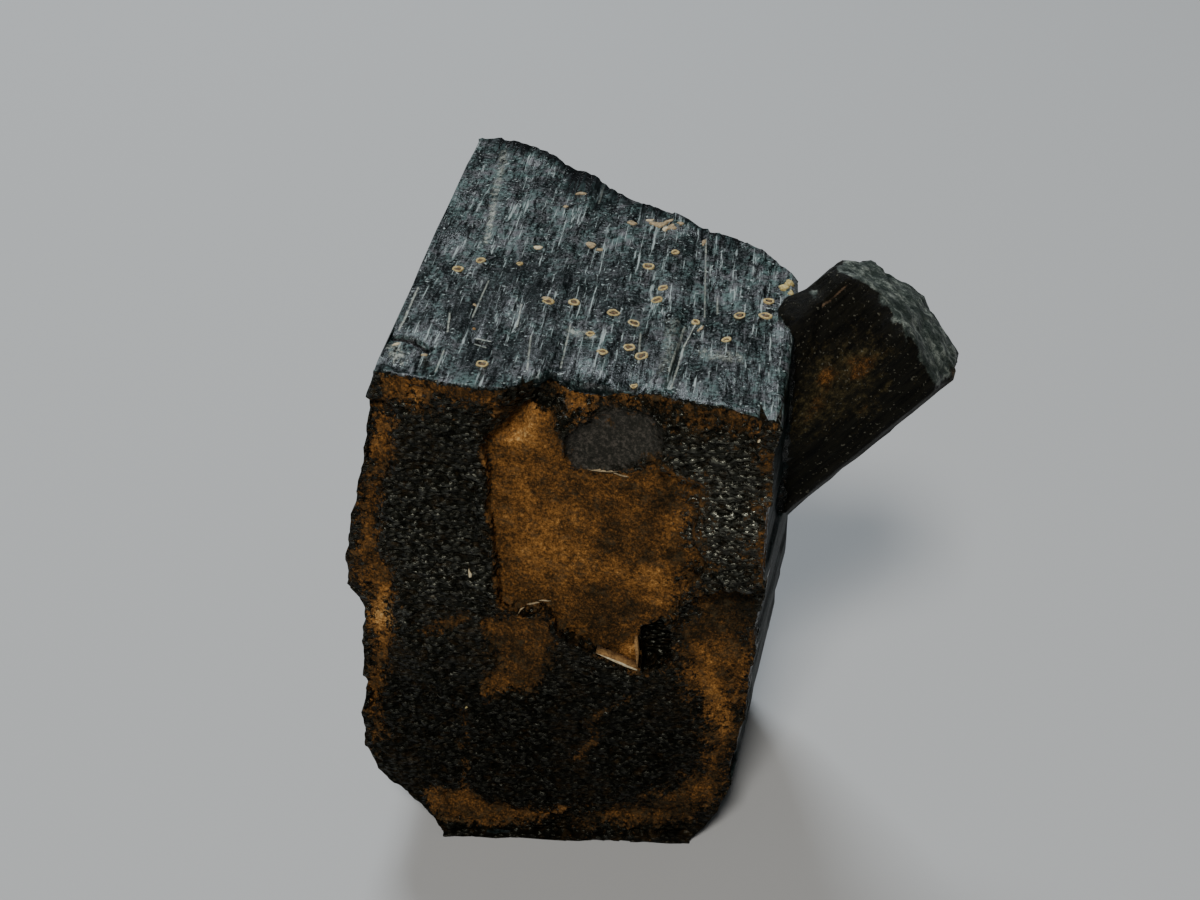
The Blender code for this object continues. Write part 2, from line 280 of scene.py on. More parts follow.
def read_points(mesh, what):
    """The places ("co") or the normals ("normal") of a mesh's points."""
    flat = np.zeros(len(mesh.vertices) * 3)
    mesh.vertices.foreach_get(what, flat)
    return flat.reshape(-1, 3)


def write_places(mesh, places):
    mesh.vertices.foreach_set("co", np.ascontiguousarray(places, float).ravel())
    mesh.update()


def with_modifier_applied(thing):
    """Replace a thing's mesh by what its modifiers make of it."""
    graph = bpy.context.evaluated_depsgraph_get()
    mesh = bpy.data.meshes.new_from_object(thing.evaluated_get(graph))
    thing.modifiers.clear()
    thing.data = mesh
    return mesh


welded = bmesh.new()
welded.from_mesh(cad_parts[NODE].data)
bmesh.ops.remove_doubles(welded, verts=welded.verts, dist=1e-6)
skin_mesh = bpy.data.meshes.new("ilvaite_skin")
welded.to_mesh(skin_mesh)
welded.free()
write_places(skin_mesh, to_places(read_points(skin_mesh, "co")))
skin = bpy.data.objects.new("ilvaite_skin", skin_mesh)
bpy.context.scene.collection.objects.link(skin)
remesh = skin.modifiers.new("even_skin", "REMESH")
remesh.mode = "VOXEL"
remesh.voxel_size = SKIN_STEP
skin_mesh = with_modifier_applied(skin)
print("skin points:", len(skin_mesh.vertices))

# %% [markdown]
# ## Which part of the crystal is each point on?
#
# Every region of the crystal has its own surface, so each point of the skin has to know
# where it is.  The large crystal's section says how deep a point lies inside the outline:
# points near the outline are on a side face, deeper ones on an end.  Whatever stands
# outside the section belongs to the small crystal.

# %% The large crystal's section
# Right flank: across and up at the front end, and how much wider it is at the back.
RIGHT_FLANK = [
    (18.2, 0.0, 0.3), (19.6, 1.7, 0.5), (20.2, 4.4, 1.1), (20.7, 8.9, 1.3),
    (21.15, 14.4, 1.4), (21.4, 18.0, 1.3), (21.5, 26.0, 1.0), (21.65, 29.8, 0.45),
    (21.3, TOP, 0.4),
]
LEFT_FLANK = [
    (2.4, TOP), (2.15, 29.6), (1.6, 26.9), (0.9, 23.4), (0.1, 20.0), (-0.2, 17.5),
    (-0.1, 16.5), (0.5, 16.0), (0.35, 12.6), (0.0, 7.8), (0.1, 5.6), (0.5, 4.4),
    (2.8, 1.9), (4.2, 0.0),
]
SECTION = [(across, up) for across, up, out in RIGHT_FLANK] + LEFT_FLANK
FLARE_UP = [up for across, up, out in RIGHT_FLANK]
FLARE_OUT = [out for across, up, out in RIGHT_FLANK]


def section_depth(places):
    """Millimetres inside the large crystal's section; negative outside it."""
    across, back, up = places.T
    flare = np.clip((back - 2.0) / 10.0, 0, 1) * np.interp(up, FLARE_UP, FLARE_OUT)
    share = np.clip((across - 11.0) / 10.0, 0, 1)
    return inside_by(across - flare * share, up, SECTION)


def front_depth(across, up):
    """Depth of the slightly twisted plane that the front end follows."""
    s = (across - 2.4) / 19.5
    t = up / TOP
    return (1 - t) * (1.9 + 1.3 * s) + t * (2.5 - 2.3 * s)


# %% The small crystal's own directions
SIDE_END = np.array([26.8, 11.1, 29.6])     # middle of its end face
SIDE_AXIS = np.array([0.67, 0.07, 0.739])
SIDE_AXIS = SIDE_AXIS / np.linalg.norm(SIDE_AXIS)
SIDE_ACROSS = np.array([0.695, -0.411, -0.590])
SIDE_ACROSS = SIDE_ACROSS - SIDE_AXIS * SIDE_ACROSS.dot(SIDE_AXIS)
SIDE_ACROSS = SIDE_ACROSS / np.linalg.norm(SIDE_ACROSS)
SIDE_FACING = -np.cross(SIDE_AXIS, SIDE_ACROSS)
if SIDE_FACING[1] > 0:
    SIDE_FACING = -SIDE_FACING


def side_places(places):
    """Places in the small crystal's own measures: across it, towards us, and along it."""
    away = places - SIDE_END
    return away @ SIDE_ACROSS, away @ SIDE_FACING, away @ SIDE_AXIS


# %% Regions as weights from 0 to 1
FRONT_ZONE = 4.5                            # how far behind the front's plane it can reach
SMALL_FROM = (18.0, 14.0)                   # across and up: the small crystal lies beyond both
TIP_ZONE = (-2.0, -1.2)                     # its worn end, measured along it from the end face


def find_regions(places, normals):
    """How much of each of the five surfaces there is at each point."""
    across, back, up = places.T
    inner = section_depth(places)
    small = ramp(-inner, 0.02, 0.16) * (across > SMALL_FROM[0]) * (up > SMALL_FROM[1])
    facing_end = np.abs(normals[:, 1])
    near = back < front_depth(across, up) + FRONT_ZONE
    ended = np.maximum(ramp(inner, 0.30, 0.50), ramp(facing_end, 0.45, 0.75))
    scarred = ramp(inner, 0.10, 0.22) * ramp(back - front_depth(across, up), 2.4, 1.6)
    ended = np.maximum(ended, scarred * ramp(across, 7.5, 9.0))
    in_crack = near & (up > 29.75) & (back > front_depth(across, up) + 1.0)
    ended = np.where(in_crack, 0.0, ended)
    front = ended * near * (1 - small)
    broken = ended * ~near * (1 - small)
    lit = normals @ SIDE_AXIS
    tip = small * ramp(lit, 0.45, 0.75) * ramp((places - SIDE_END) @ SIDE_AXIS, *TIP_ZONE)
    return {
        "front": front,
        "broken": broken,
        "sides": (1 - ended) * (1 - small),
        "small_sides": small - tip,
        "small_tip": tip,
    }


places = read_points(skin_mesh, "co")
normals = read_points(skin_mesh, "normal")
regions = find_regions(places, normals)
for name, weight in regions.items():
    print(f"{name}: {weight.sum() / len(weight):.2f} of the points")

# %% [markdown]
# ## Ribs on the side faces
#
# Ilvaite's side faces are striped along the crystal, because two sets of faces took turns
# as it grew.  Noise that changes fast around the crystal and slowly along it gives such
# stripes on every side at once.  A steep curve turns its soft waves into flat ribs with
# sharp edges.

# %% Ribs
def ribs(round_x, round_y, along, layer):
    """Height in millimetres of ribs that run along a crystal."""
    broad = smooth_noise(round_x / 1.1, round_y / 1.1, along / 22.0, layer)
    middle = smooth_noise(round_x / 0.52, round_y / 0.52, along / 8.0, layer + 1)
    narrow = smooth_noise(round_x / 0.27, round_y / 0.27, along / 4.0, layer + 2)
    patchy = ramp(smooth_noise(round_x / 3.0, round_y / 3.0, along / 4.0, layer + 3), -0.5, 0.5)
    height = 0.055 * np.tanh(4 * broad) + 0.040 * np.tanh(5 * middle) * (0.4 + 0.6 * patchy)
    return height + 0.022 * np.tanh(4 * narrow) * (1 - 0.5 * patchy)


# %% Cracks and steps of the upper face
# Cracks: a path of (across, back), its depth and its half width.
TOP_CRACKS = [
    ([(2.8, 5.6), (3.6, 5.4), (4.6, 4.7)], 0.32, 0.16),
    ([(6.7, 5.7), (7.4, 5.55)], 0.22, 0.11),
    ([(4.3, 7.3), (4.9, 6.6)], 0.14, 0.06),
    ([(16.9, 8.6), (16.7, 6.8), (16.5, 4.2), (16.3, 2.6)], 0.18, 0.14),
    ([(11.0, 8.2), (11.1, 3.8)], 0.08, 0.08),
    ([(4.9, 9.0), (5.2, 6.2)], 0.08, 0.08),
]
STEP_LINE = [(17.0, 20.5), (17.4, 14.8), (17.6, 9.0)]
STEP_SINK = 0.22


def top_relief(across, back):
    """Cracks, a stepped line and worn hollows of the upper face, in millimetres."""
    sink = np.zeros(len(across))
    for path, depth, width in TOP_CRACKS:
        away = distance_to_path(across, back, path)
        sink += depth * np.clip(1 - away / (2 * width), 0, 1)
    edge = np.interp(back, [point[1] for point in reversed(STEP_LINE)],
                     [point[0] for point in reversed(STEP_LINE)])
    past = ramp(across - edge, -0.06, 0.06) * ramp(back, 8.6, 9.6)
    sink += STEP_SINK * past * np.exp(-np.clip(across - edge, 0, None) / 1.4)
    hollow = face_noise(across, back, 1.6, 2.6, 61)
    return -sink - 0.10 * ramp(hollow, 0.25, 0.8)


# %% [markdown]
# ## The pebbled front end
#
# The natural front end is an outer crust of small rounded pebbles.  Pieces of it flaked
# off long ago and the bare places rusted: a large plate in the middle, a strip down the
# left edge, a hollow at the lower right and a crescent at the foot.  Each place is an
# outline in millimetres.  The same outlines later place the rust colour.

# %% Outlines on the front end
CENTRE_PLATE = [
    (7.6, 26.6), (7.7, 22.3), (7.9, 16.9), (9.3, 16.4), (10.6, 16.9), (11.1, 15.4),
    (12.9, 14.3), (15.1, 13.3), (15.3, 15.7), (17.1, 16.8), (17.3, 19.3), (18.5, 20.8),
    (17.8, 22.5), (18.0, 25.9), (15.8, 26.7), (14.5, 25.8), (12.0, 25.6), (11.0, 28.8),
    (9.3, 28.6),
]
GREY_FACET = [
    (13.6, 29.6), (15.5, 29.3), (16.3, 28.2), (15.9, 26.9), (14.5, 25.8), (13.2, 25.75),
    (11.8, 25.2), (11.3, 26.3), (11.2, 27.4),
]
SECOND_PATCH = [
    (7.1, 15.5), (8.1, 16.3), (10.4, 16.8), (10.9, 14.9), (10.7, 13.1), (9.5, 11.2),
    (7.0, 10.4), (7.0, 11.6), (7.7, 12.8),
]
LEFT_STRIP = [
    (2.5, 28.8), (3.4, 28.7), (2.9, 24.6), (2.1, 22.7), (1.8, 19.0), (2.5, 17.2),
    (2.1, 13.2), (1.3, 9.6), (0.7, 5.5), (0.5, 8.0), (0.8, 13.0), (1.0, 16.3),
    (0.4, 17.2), (0.7, 20.7), (1.4, 24.4), (1.9, 26.8),
]
RIGHT_HOLLOW = [
    (16.5, 14.0), (17.6, 18.4), (19.2, 19.3), (21.4, 19.4), (21.3, 14.9), (20.8, 9.0),
    (20.2, 5.3), (19.2, 6.4), (18.5, 9.6), (17.5, 11.9),
]
FOOT_CRESCENT = [
    (3.1, 3.1), (4.5, 3.4), (5.7, 3.3), (6.4, 2.6), (8.1, 2.1), (9.5, 1.8), (11.4, 2.3),
    (10.2, 1.2), (9.2, 0.9), (7.5, 0.75), (5.8, 0.75), (4.5, 0.9), (3.5, 1.7),
]
FOOT_RIGHT = [
    (11.8, 1.2), (13.1, 2.1), (14.5, 2.7), (17.3, 4.3), (18.6, 5.9), (19.1, 8.5), (19.8, 8.2),
    (20.0, 6.2), (20.0, 4.4), (19.4, 2.9), (18.1, 2.5), (17.9, 1.3), (15.4, 0.9), (12.0, 0.8),
]
UPPER_BAND = [
    (2.6, 30.6), (21.3, 30.6), (21.2, 29.2), (18.0, 29.0), (16.6, 29.4), (14.3, 29.8),
    (13.4, 29.2), (12.1, 28.9), (11.0, 29.4), (9.2, 29.9), (8.6, 28.8), (5.6, 28.9),
    (4.6, 28.1), (3.8, 28.6), (2.8, 28.7),
]
RIGHT_STRIP = [
    (20.4, 29.6), (21.5, 29.4), (21.5, 20.2), (20.9, 20.2), (20.6, 23.0), (20.9, 26.0),
]
UPPER_LEFT_RIDGE = [
    (2.4, 31.0), (9.6, 31.0), (9.0, 29.0), (7.1, 28.5), (5.6, 28.9), (4.9, 28.3),
    (3.7, 28.5), (2.0, 28.3),
]
# The notch's lower lip faces up; its rust tone carries a painted highlight.
NOTCH_LIP = [(10.1, 28.6), (9.7, 27.7), (8.9, 26.8)]
# Rusty streaks: a path and its half width.
THIN_STREAKS = [
    ([(14.6, 11.1), (13.2, 10.0), (12.6, 9.0), (13.1, 8.3), (12.6, 7.4), (12.0, 6.4)], 0.12),
    ([(5.8, 9.6), (5.7, 6.2), (5.5, 3.4)], 0.02),
    ([(4.3, 14.8), (5.2, 15.3), (6.2, 15.9)], 0.25),
]
# A raised ridge in the right hollow; its rust tone carries a painted highlight.
HIGHLIT_RIDGE = [(18.4, 15.0), (19.0, 12.4), (19.6, 10.2), (20.3, 7.0)]
LOW_EDGE = [(10.4, 10.6), (11.9, 11.5), (13.2, 12.9), (15.3, 12.6), (16.6, 11.3), (17.8, 9.2)]

# Each rusty place, how much of its rim (in millimetres) the rust leaves bare, and how
# slowly the rust thins out towards that rim on the left and on the right of the front:
# 1 for a clear edge, 4 for a mottled one.  The last two coat the pebbles instead of baring them.
RUSTY_PLACES = [
    (CENTRE_PLATE, 0.0, 1.0, 4.2), (SECOND_PATCH, 0.05, 1.8, 1.8), (LEFT_STRIP, 0.1, 2.4, 2.4),
    (RIGHT_HOLLOW, 0.45, 4.0, 4.0), (FOOT_CRESCENT, 0.0, 1.6, 1.6), (FOOT_RIGHT, 0.10, 3.6, 3.6),
    (UPPER_BAND, 0.15, 3.6, 4.6), (RIGHT_STRIP, 0.15, 4.0, 4.0),
]


def wander(across, up):
    """How far ragged edges stray from a drawn outline, in millimetres."""
    a = face_noise(across, up, 1.1, 1.1, 71, 3)
    b = face_noise(across, up, 1.1, 1.1, 83, 3)
    return 0.13 * a, 0.13 * b


def rust_depth(across, up, rusty_places):
    """How far inside the rusty places each point is, in millimetres."""
    most = np.full(len(across), -9.0)
    for outline, less, left, right in rusty_places:
        softness = left + (right - left) * ramp(across, 14.0, 17.0)
        most = np.maximum(most, (inside_by(across, up, outline) - less) / softness)
    for path, width in THIN_STREAKS:
        most = np.maximum(most, (width - distance_to_path(across, up, path)) / 1.5)
    return most


# %% Crust relief
PEBBLE = (0.54, 0.34)                       # usual pebble, across and up
PEBBLE_HEIGHT = 0.24
RUST_LEVEL = 0.06                           # heights and depths in millimetres from here on
RUST_GRAIN = 0.050
SWELL = 0.07
RIDGE_HEIGHT = 0.18
PATCH_DEPTH = 0.12
STRIP_DEPTH = 0.10
CRUST_SINK = 0.12                           # the whole crust starts this far below the solid
PIT = [(15.2, 13.2), (15.0, 14.8), (15.2, 16.1), (16.2, 16.5), (17.0, 15.9), (16.7, 13.8)]
RAISED_LINES = [(NOTCH_LIP, 0.06, 0.30), (HIGHLIT_RIDGE, 0.05, 0.40)]   # path, height, half width


def pebble_height(across, up):
    """Height from 0 to 1 of the pebbles that cover the front end's crust."""
    warp_a = 0.5 * face_noise(across, up, 1.1, 1.1, 44)
    warp_b = 0.5 * face_noise(across, up, 1.1, 1.1, 45)
    a, b = across / PEBBLE[0] + warp_a, up / PEBBLE[1] + warp_b
    few = ramp(face_noise(across, up, 2.3, 2.0, 46), -0.9, 0.3)
    large = pebbles(a, b, 40, 0.74)
    small = 0.50 * pebbles(1.9 * a, 1.9 * b, 50, 0.74)
    return np.maximum(large * (0.45 + 0.55 * few), small)


def crust_relief(across, up, inner):
    """Height of the front end's fine surface in millimetres, outwards."""
    shift_a, shift_b = wander(across, up)
    a, b = across - shift_a, up - shift_b
    rusty = ramp(rust_depth(a, b, RUSTY_PLACES[:-2]), -0.15, 0.10)
    frayed = 0.30 * face_noise(across, up, 0.7, 0.5, 97, 3)
    grey = ramp(inside_by(a, b, GREY_FACET) + frayed, 0.0, 0.35)
    glassy = ramp(inside_by(a, b, PIT), -0.15, 0.10)
    swell = face_noise(across, up, 1.9, 1.6, 90, 2)
    grain = face_noise(across, up, 0.42, 0.42, 95, 3)
    bare = np.maximum(grey, glassy)
    black = PEBBLE_HEIGHT * pebble_height(across, up) * (1 - bare) * (0.35 + 0.65 * ramp(inner, 0.2, 1.0))
    rust = RUST_LEVEL + RUST_GRAIN * grain
    height = black * (1 - rusty) + rust * rusty + SWELL * swell * (1 - 0.6 * bare)
    height += RIDGE_HEIGHT * ramp(inside_by(a, b, UPPER_LEFT_RIDGE), -0.2, 0.3)
    height -= PATCH_DEPTH * ramp(inside_by(a, b, SECOND_PATCH), -0.08, 0.08)
    height -= STRIP_DEPTH * ramp(inside_by(a, b, LEFT_STRIP), -0.15, 0.15)
    lip = inside_by(a, b, CENTRE_PLATE)
    height += 0.05 * np.exp(-((lip + 0.12) / 0.14) ** 2)
    for path, raised, width in RAISED_LINES:
        height += raised * np.exp(-(distance_to_path(a, b, path) / width) ** 2)
    height += 0.10 * ramp(distance_to_path(a, b, LOW_EDGE), 0.35, 0.0)
    return height - CRUST_SINK


# %% [markdown]
# ## The broken back end
#
# The far end was snapped off.  Ilvaite breaks unevenly, so the break is a field of small
# hackly steps and shallow shells, with no pebbles and no ribs.

# %% Break relief
def break_relief(places):
    """Steps, hackles and shells of the break, in millimetres."""
    across, back, up = places.T
    coarse = face_noise(across, up, 2.2, 2.6, 101, 3)
    steps = np.round(coarse * 3.0) / 3.0
    fine = layered_noise(across / 0.55, up / 0.65, back / 0.8, 108, 4)
    ridged = 1 - np.abs(face_noise(across, up, 1.3, 2.0, 113))
    return 0.26 * steps + 0.10 * coarse + 0.09 * fine + 0.24 * ridged ** 4 - 0.30


# %% [markdown]
# ## Shape the skin
#
# Each region's height moves its points along their own normals.  Along the edges the
# weights fade into each other, so nothing tears.  The base stays flat where it rests.

# %% Move the points
def skin_offset(places, normals, regions):
    """How far each point moves outwards, in millimetres."""
    across, back, up = places.T
    on_top = ramp(normals[:, 2], 0.5, 0.8) * (up > 28.5)
    rib = ribs(across, up, back, 3) - 0.03 + on_top * top_relief(across, back)
    s, t, along = side_places(places)
    small_rib = ribs(s * 1.2, t * 1.2, along, 23)
    worn = layered_noise(s / 0.5, t / 0.5, along / 0.5, 31, 3)
    height = regions["sides"] * rib
    height += regions["front"] * crust_relief(across, up, section_depth(places))
    height += regions["broken"] * break_relief(places)
    height += regions["small_sides"] * (small_rib + 0.02 * worn - 0.02)
    height += regions["small_tip"] * (0.09 * worn)
    resting = ramp(-normals[:, 2], 0.85, 0.97) * ramp(up, 0.35, 0.12)
    return height * (1 - resting)


offset = skin_offset(places, normals, regions)
shift_a, shift_b = wander(places[:, 0], places[:, 2])
ragged = regions["front"] * ramp(section_depth(places), 0.3, 1.2)
moved = places + normals * offset[:, None]
moved[:, 0] += shift_a * ragged
moved[:, 2] += shift_b * ragged
box_places = to_places([box_low, box_high])
BOX_GAP = 0.001                             # a micrometre


def inside_box(places):
    """The same places, held just inside the solid's box."""
    return np.clip(places, box_places[0] + BOX_GAP, box_places[1] - BOX_GAP)


write_places(skin_mesh, inside_box(moved))
print("relief, mm:", round(float(offset.min()), 3), "to", round(float(offset.max()), 3))

# %% [markdown]
# ## Spend the triangles where they show
#
# The remesh spends as many triangles on a flat face as on pebbles.  Blender's Decimate
# modifier merges the points that matter least first, so flat ribs get long triangles and
# the pebbled crust keeps its detail.

# %% Decimate
TRIANGLE_LIMIT = 196000
triangles = sum(len(polygon.vertices) - 2 for polygon in skin_mesh.polygons)
smoother = skin.vertex_groups.new(name="may_thin")
to_cracks = np.min([distance_to_path(*places[:, :2].T, crack[0]) for crack in TOP_CRACKS], axis=0)
cracked = (to_cracks < 0.35) & (places[:, 2] > 29.0)
smoother.add(np.flatnonzero((regions["front"] < 0.5) & ~cracked).tolist(), 1.0, "REPLACE")
thin = skin.modifiers.new("fewer_triangles", "DECIMATE")
thin.vertex_group = "may_thin"
thin.ratio = min(1.0, TRIANGLE_LIMIT / triangles)
skin_mesh = with_modifier_applied(skin)
skin_mesh.validate()
print("triangles:", triangles, "thinned to", len(skin_mesh.polygons), "faces")

# %% [markdown]
# ## What the colours need to know
#
# Colour belongs to places: rust to the flaked plates, black glass to one small pit, dust and
# painted sheen to soft spots of the upper face.  Each of these is stored on the skin's points
# as a smooth number, mostly a distance in millimetres.  A shader can then draw a sharp,
# ragged edge from it that is much finer than the points themselves.

# %% Tones of the rust
# Soft spots on the front end: across, up, radius, and how much brighter the rust is there.
TONE_SPOTS = [
    (9.6, 22.0, 2.6, 0.16), (10.0, 26.6, 1.0, 0.14), (11.5, 19.5, 2.4, 0.08),
    (15.6, 18.2, 2.0, 0.14), (13.4, 15.9, 1.3, -0.20), (14.6, 14.35, 0.5, 0.40),
    (17.0, 23.3, 0.8, 0.26), (16.3, 24.4, 0.7, -0.26), (14.2, 22.2, 0.6, -0.20),
    (13.8, 21.2, 0.6, -0.18), (15.4, 20.8, 0.5, -0.20), (15.0, 17.1, 0.8, -0.20),
    (16.8, 20.9, 0.5, -0.22), (13.0, 17.9, 0.7, -0.16), (17.1, 26.2, 0.5, 0.24),
    (15.6, 19.4, 0.6, 0.16), (16.6, 19.0, 0.5, 0.16), (15.2, 14.5, 0.30, 0.30), (2.0, 15.0, 1.6, 0.48),
    (2.4, 26.6, 1.3, 0.20), (1.4, 20.5, 1.2, 0.10), (9.0, 13.5, 2.0, -0.15),
    (20.0, 17.6, 1.8, -0.34), (17.6, 16.4, 1.2, -0.18), (19.0, 10.5, 1.2, 0.10),
    (20.6, 8.0, 1.2, -0.24), (12.8, 1.0, 0.9, -0.25), (6.0, 1.4, 1.8, -0.10),
    (16.5, 2.4, 2.2, -0.20), (6.2, 29.6, 1.6, 0.06), (4.6, 28.9, 0.5, 0.30),
    (18.5, 29.8, 2.2, -0.06), (13.0, 9.0, 1.6, -0.16), (9.8, 29.4, 0.9, -0.30),
    (12.2, 29.6, 0.8, 0.16), (13.2, 20.1, 0.6, -0.14),
]
# Spots of the upper face with more or less dust and painted sheen: across, back, radius and strength.
DUST_AND_SHEEN_SPOTS = [
    (4.8, 6.3, 2.6, -0.06), (16.0, 6.0, 1.2, 0.07), (19.5, 4.5, 2.2, 0.05), (4.5, 26.0, 2.5, 0.06),
    (15.5, 14.5, 1.5, 0.06), (12.6, 18.5, 1.2, 0.06), (20.3, 15.5, 1.2, 0.08), (11.7, 7.1, 0.8, 0.10),
    (3.0, 4.6, 0.9, 0.14), (18.5, 5.6, 0.8, 0.10), (8.0, 21.0, 2.2, -0.08), (12.0, 14.0, 2.5, -0.08),
    (7.0, 21.0, 5.0, 0.09), (8.0, 8.0, 3.5, -0.08), (14.0, 8.0, 3.0, -0.08), (18.5, 11.0, 3.8, 0.12),
    (17.9, 17.5, 1.0, -0.20), (18.6, 15.5, 1.2, -0.14), (10.2, 9.5, 2.5, -0.06), (17.0, 3.5, 0.7, -0.14),
    (10.0, 18.5, 1.5, -0.06), (20.2, 4.6, 0.6, -0.14), (20.0, 8.4, 1.0, -0.10), (17.9, 9.6, 0.5, -0.12),
]
# Stains on the small crystal in its own measures, with a radius and a strength.
SIDE_STAINS = [
    (0.4, 3.9, -2.4, 1.8, 0.40), (0.7, 3.9, -4.6, 1.6, 0.38), (0.6, 3.9, -0.9, 1.2, 0.28),
    (1.0, 4.0, -6.4, 1.4, 0.34), (-0.1, 3.7, -3.3, 0.45, 0.6), (0.8, 4.0, -1.3, 0.40, 0.7),
    (0.9, 4.0, -1.9, 0.35, 0.6), (0.1, 3.8, -1.8, 0.30, 0.4), (0.7, 3.9, -4.5, 0.40, 0.3),
    (1.2, 4.1, -5.3, 0.45, 0.3), (2.5, 3.0, -3.2, 0.28, 0.9), (2.0, 3.3, -2.4, 0.35, 0.5),
    (2.4, 3.1, -1.5, 0.30, 0.4), (1.3, 3.7, -4.0, 0.30, 0.3), (0.9, 4.0, -0.3, 0.30, 0.5),
    (3.9, -0.3, 0.6, 0.50, 0.9), (2.2, 3.2, -3.0, 1.6, 0.20), (-1.2, 3.6, -3.0, 1.3, 0.20),
]


def blobs(spots, *measures):
    """Sum of soft round spots, each given by a place, a radius and a strength."""
    total = np.zeros(len(measures[0]))
    for spot in spots:
        place, radius, strength = spot[:-2], spot[-2], spot[-1]
        away = sum((m - p) ** 2 for m, p in zip(measures, place))
        total += strength * np.exp(-away / radius ** 2)
    return total


def front_tone(across, up):
    """Brightness of the front end's rust, 0 for dark brown to 1 for yellow ochre."""
    tone = 0.36 + blobs(TONE_SPOTS, across, up)
    # Painted highlights on the notch's lip and the hollow's ridge, which face the light.
    lip = np.exp(-(distance_to_path(across, up, NOTCH_LIP) / 0.40) ** 2)
    ridge_highlight = np.exp(-(distance_to_path(across, up, HIGHLIT_RIDGE) / 0.45) ** 2)
    return tone + 0.38 * lip + 0.16 * ridge_highlight


# %% Store the numbers on the points
def put_number(mesh, name, values):
    layer = mesh.attributes.new(name, "FLOAT", "POINT")
    layer.data.foreach_set("value", np.ascontiguousarray(values, np.float32))


final_places = inside_box(read_points(skin_mesh, "co"))
final_normals = read_points(skin_mesh, "normal")
final_regions = find_regions(final_places, final_normals)
across, back, up = final_places.T
shift_a, shift_b = wander(across, up)
drawn_a, drawn_b = across - shift_a, up - shift_b
side_s, side_t, side_along = side_places(final_places)
small = final_regions["small_sides"] + final_regions["small_tip"]

front_rust = rust_depth(drawn_a, drawn_b, RUSTY_PLACES)
side_rust = 1.2 * blobs(SIDE_STAINS, side_s, side_t, side_along) - 0.54
break_rust = 0.7 * face_noise(across, up, 3.5, 3.5, 121, 2) - 0.45
rust = np.full(len(across), -1.0)
rust = rust + (np.clip(front_rust, -1, 1) + 1) * final_regions["front"]
rust = rust + (break_rust + 1) * final_regions["broken"]
rust = rust + (side_rust + 1) * small
put_number(skin_mesh, "rust", rust)

tone = front_tone(drawn_a, drawn_b)
put_number(skin_mesh, "tone", np.where(small > 0.5, 0.22 + 0.3 * side_rust, tone))
put_number(skin_mesh, "grey_facet", inside_by(drawn_a, drawn_b, GREY_FACET))
put_number(skin_mesh, "glassy", inside_by(drawn_a, drawn_b, PIT))
put_number(skin_mesh, "pebble", pebble_height(across, up))
from_edge = back - front_depth(across, up)
# Dust and painted sheen; the painted sheen grows towards the back of the upper face.
dust_and_sheen = blobs(DUST_AND_SHEEN_SPOTS, across, back) + 0.03 * ramp(back, 6.0, 24.0)
# Painted highlight: a pale rim along the upper face's front edge.
dust_and_sheen += 0.16 * np.exp(-(from_edge / 0.35) ** 2)
put_number(skin_mesh, "dust_and_sheen", dust_and_sheen * ramp(up, 28.0, 30.0))
put_number(skin_mesh, "tip", final_regions["small_tip"])
put_number(skin_mesh, "upper", ramp(final_normals[:, 2], 0.3, 0.7) * ramp(up, 28.0, 29.0))
shine = 0.26 + blobs([(19.2, 24.5, 3.4, 0.85), (4.6, 20.0, 3.0, 0.08)], across, up)
put_number(skin_mesh, "shine", shine - 0.14 * ramp(up, 18.0, 8.0))
# Painted shade towards the foot of the front, outside the rust.
put_number(skin_mesh, "low", ramp(up, 18.0, 8.0) * ramp(front_rust, 0.2, -0.2))
print("rusty share of the front:", round(float((front_rust > 0).mean()), 2))

# %% [markdown]
# ## A few words for shader nodes
#
# A node tree written out link by link is hard to read.  These helpers name the handful of
# steps that all the finishes share: millimetre coordinates, noise, a soft threshold, a
# mix, and a bump.

# %% Shader helpers
def node(tree, kind, settings=(), **sockets):
    """Add a node, set its properties and fill its sockets with numbers or links."""
    made = tree.nodes.new(kind)
    for name, value in settings:
        setattr(made, name, value)
    for name, value in sockets.items():
        socket = made.inputs[int(name[1:]) if name[1:].isdigit() else name.replace("_", " ")]
        if isinstance(value, bpy.types.NodeSocket):
            tree.links.new(value, socket)
        else:
            socket.default_value = value
    return made


def sums(tree, operation, a, b):
    return node(tree, "ShaderNodeMath", [("operation", operation)], i0=a, i1=b).outputs[0]


def plus(tree, first, *others):
    for other in others:
        first = sums(tree, "ADD", first, other)
    return first


def less(tree, a, b):
    return sums(tree, "SUBTRACT", a, b)


def times(tree, a, b):
    return sums(tree, "MULTIPLY", a, b)


def vectors(tree, operation, a, b, c=(0.0, 0.0, 0.0)):
    return node(tree, "ShaderNodeVectorMath", [("operation", operation)], i0=a, i1=b, i2=c)


def millimetres(tree, stretch=(1.0, 1.0, 1.0)):
    """Millimetres across, back and up, squeezed along the axes given."""
    point = node(tree, "ShaderNodeTexCoord").outputs["Object"]
    start = tuple(float(value) for value in CORNER - np.array(box_low) / MM)
    place = vectors(tree, "MULTIPLY_ADD", point, (1 / MM,) * 3, start).outputs[0]
    return vectors(tree, "MULTIPLY", place, stretch).outputs[0]


def near_line(tree, place, start, end):
    """Distance in millimetres from a straight run between two places."""
    run = np.subtract(end, start)
    away = vectors(tree, "SUBTRACT", place, tuple(start)).outputs[0]
    share = vectors(tree, "DOT_PRODUCT", away, tuple(run / run.dot(run))).outputs["Value"]
    held = node(tree, "ShaderNodeClamp", Value=share).outputs[0]
    reached = node(tree, "ShaderNodeVectorMath", [("operation", "SCALE")], i0=tuple(run), Scale=held)
    return vectors(tree, "DISTANCE", away, reached.outputs[0]).outputs["Value"]


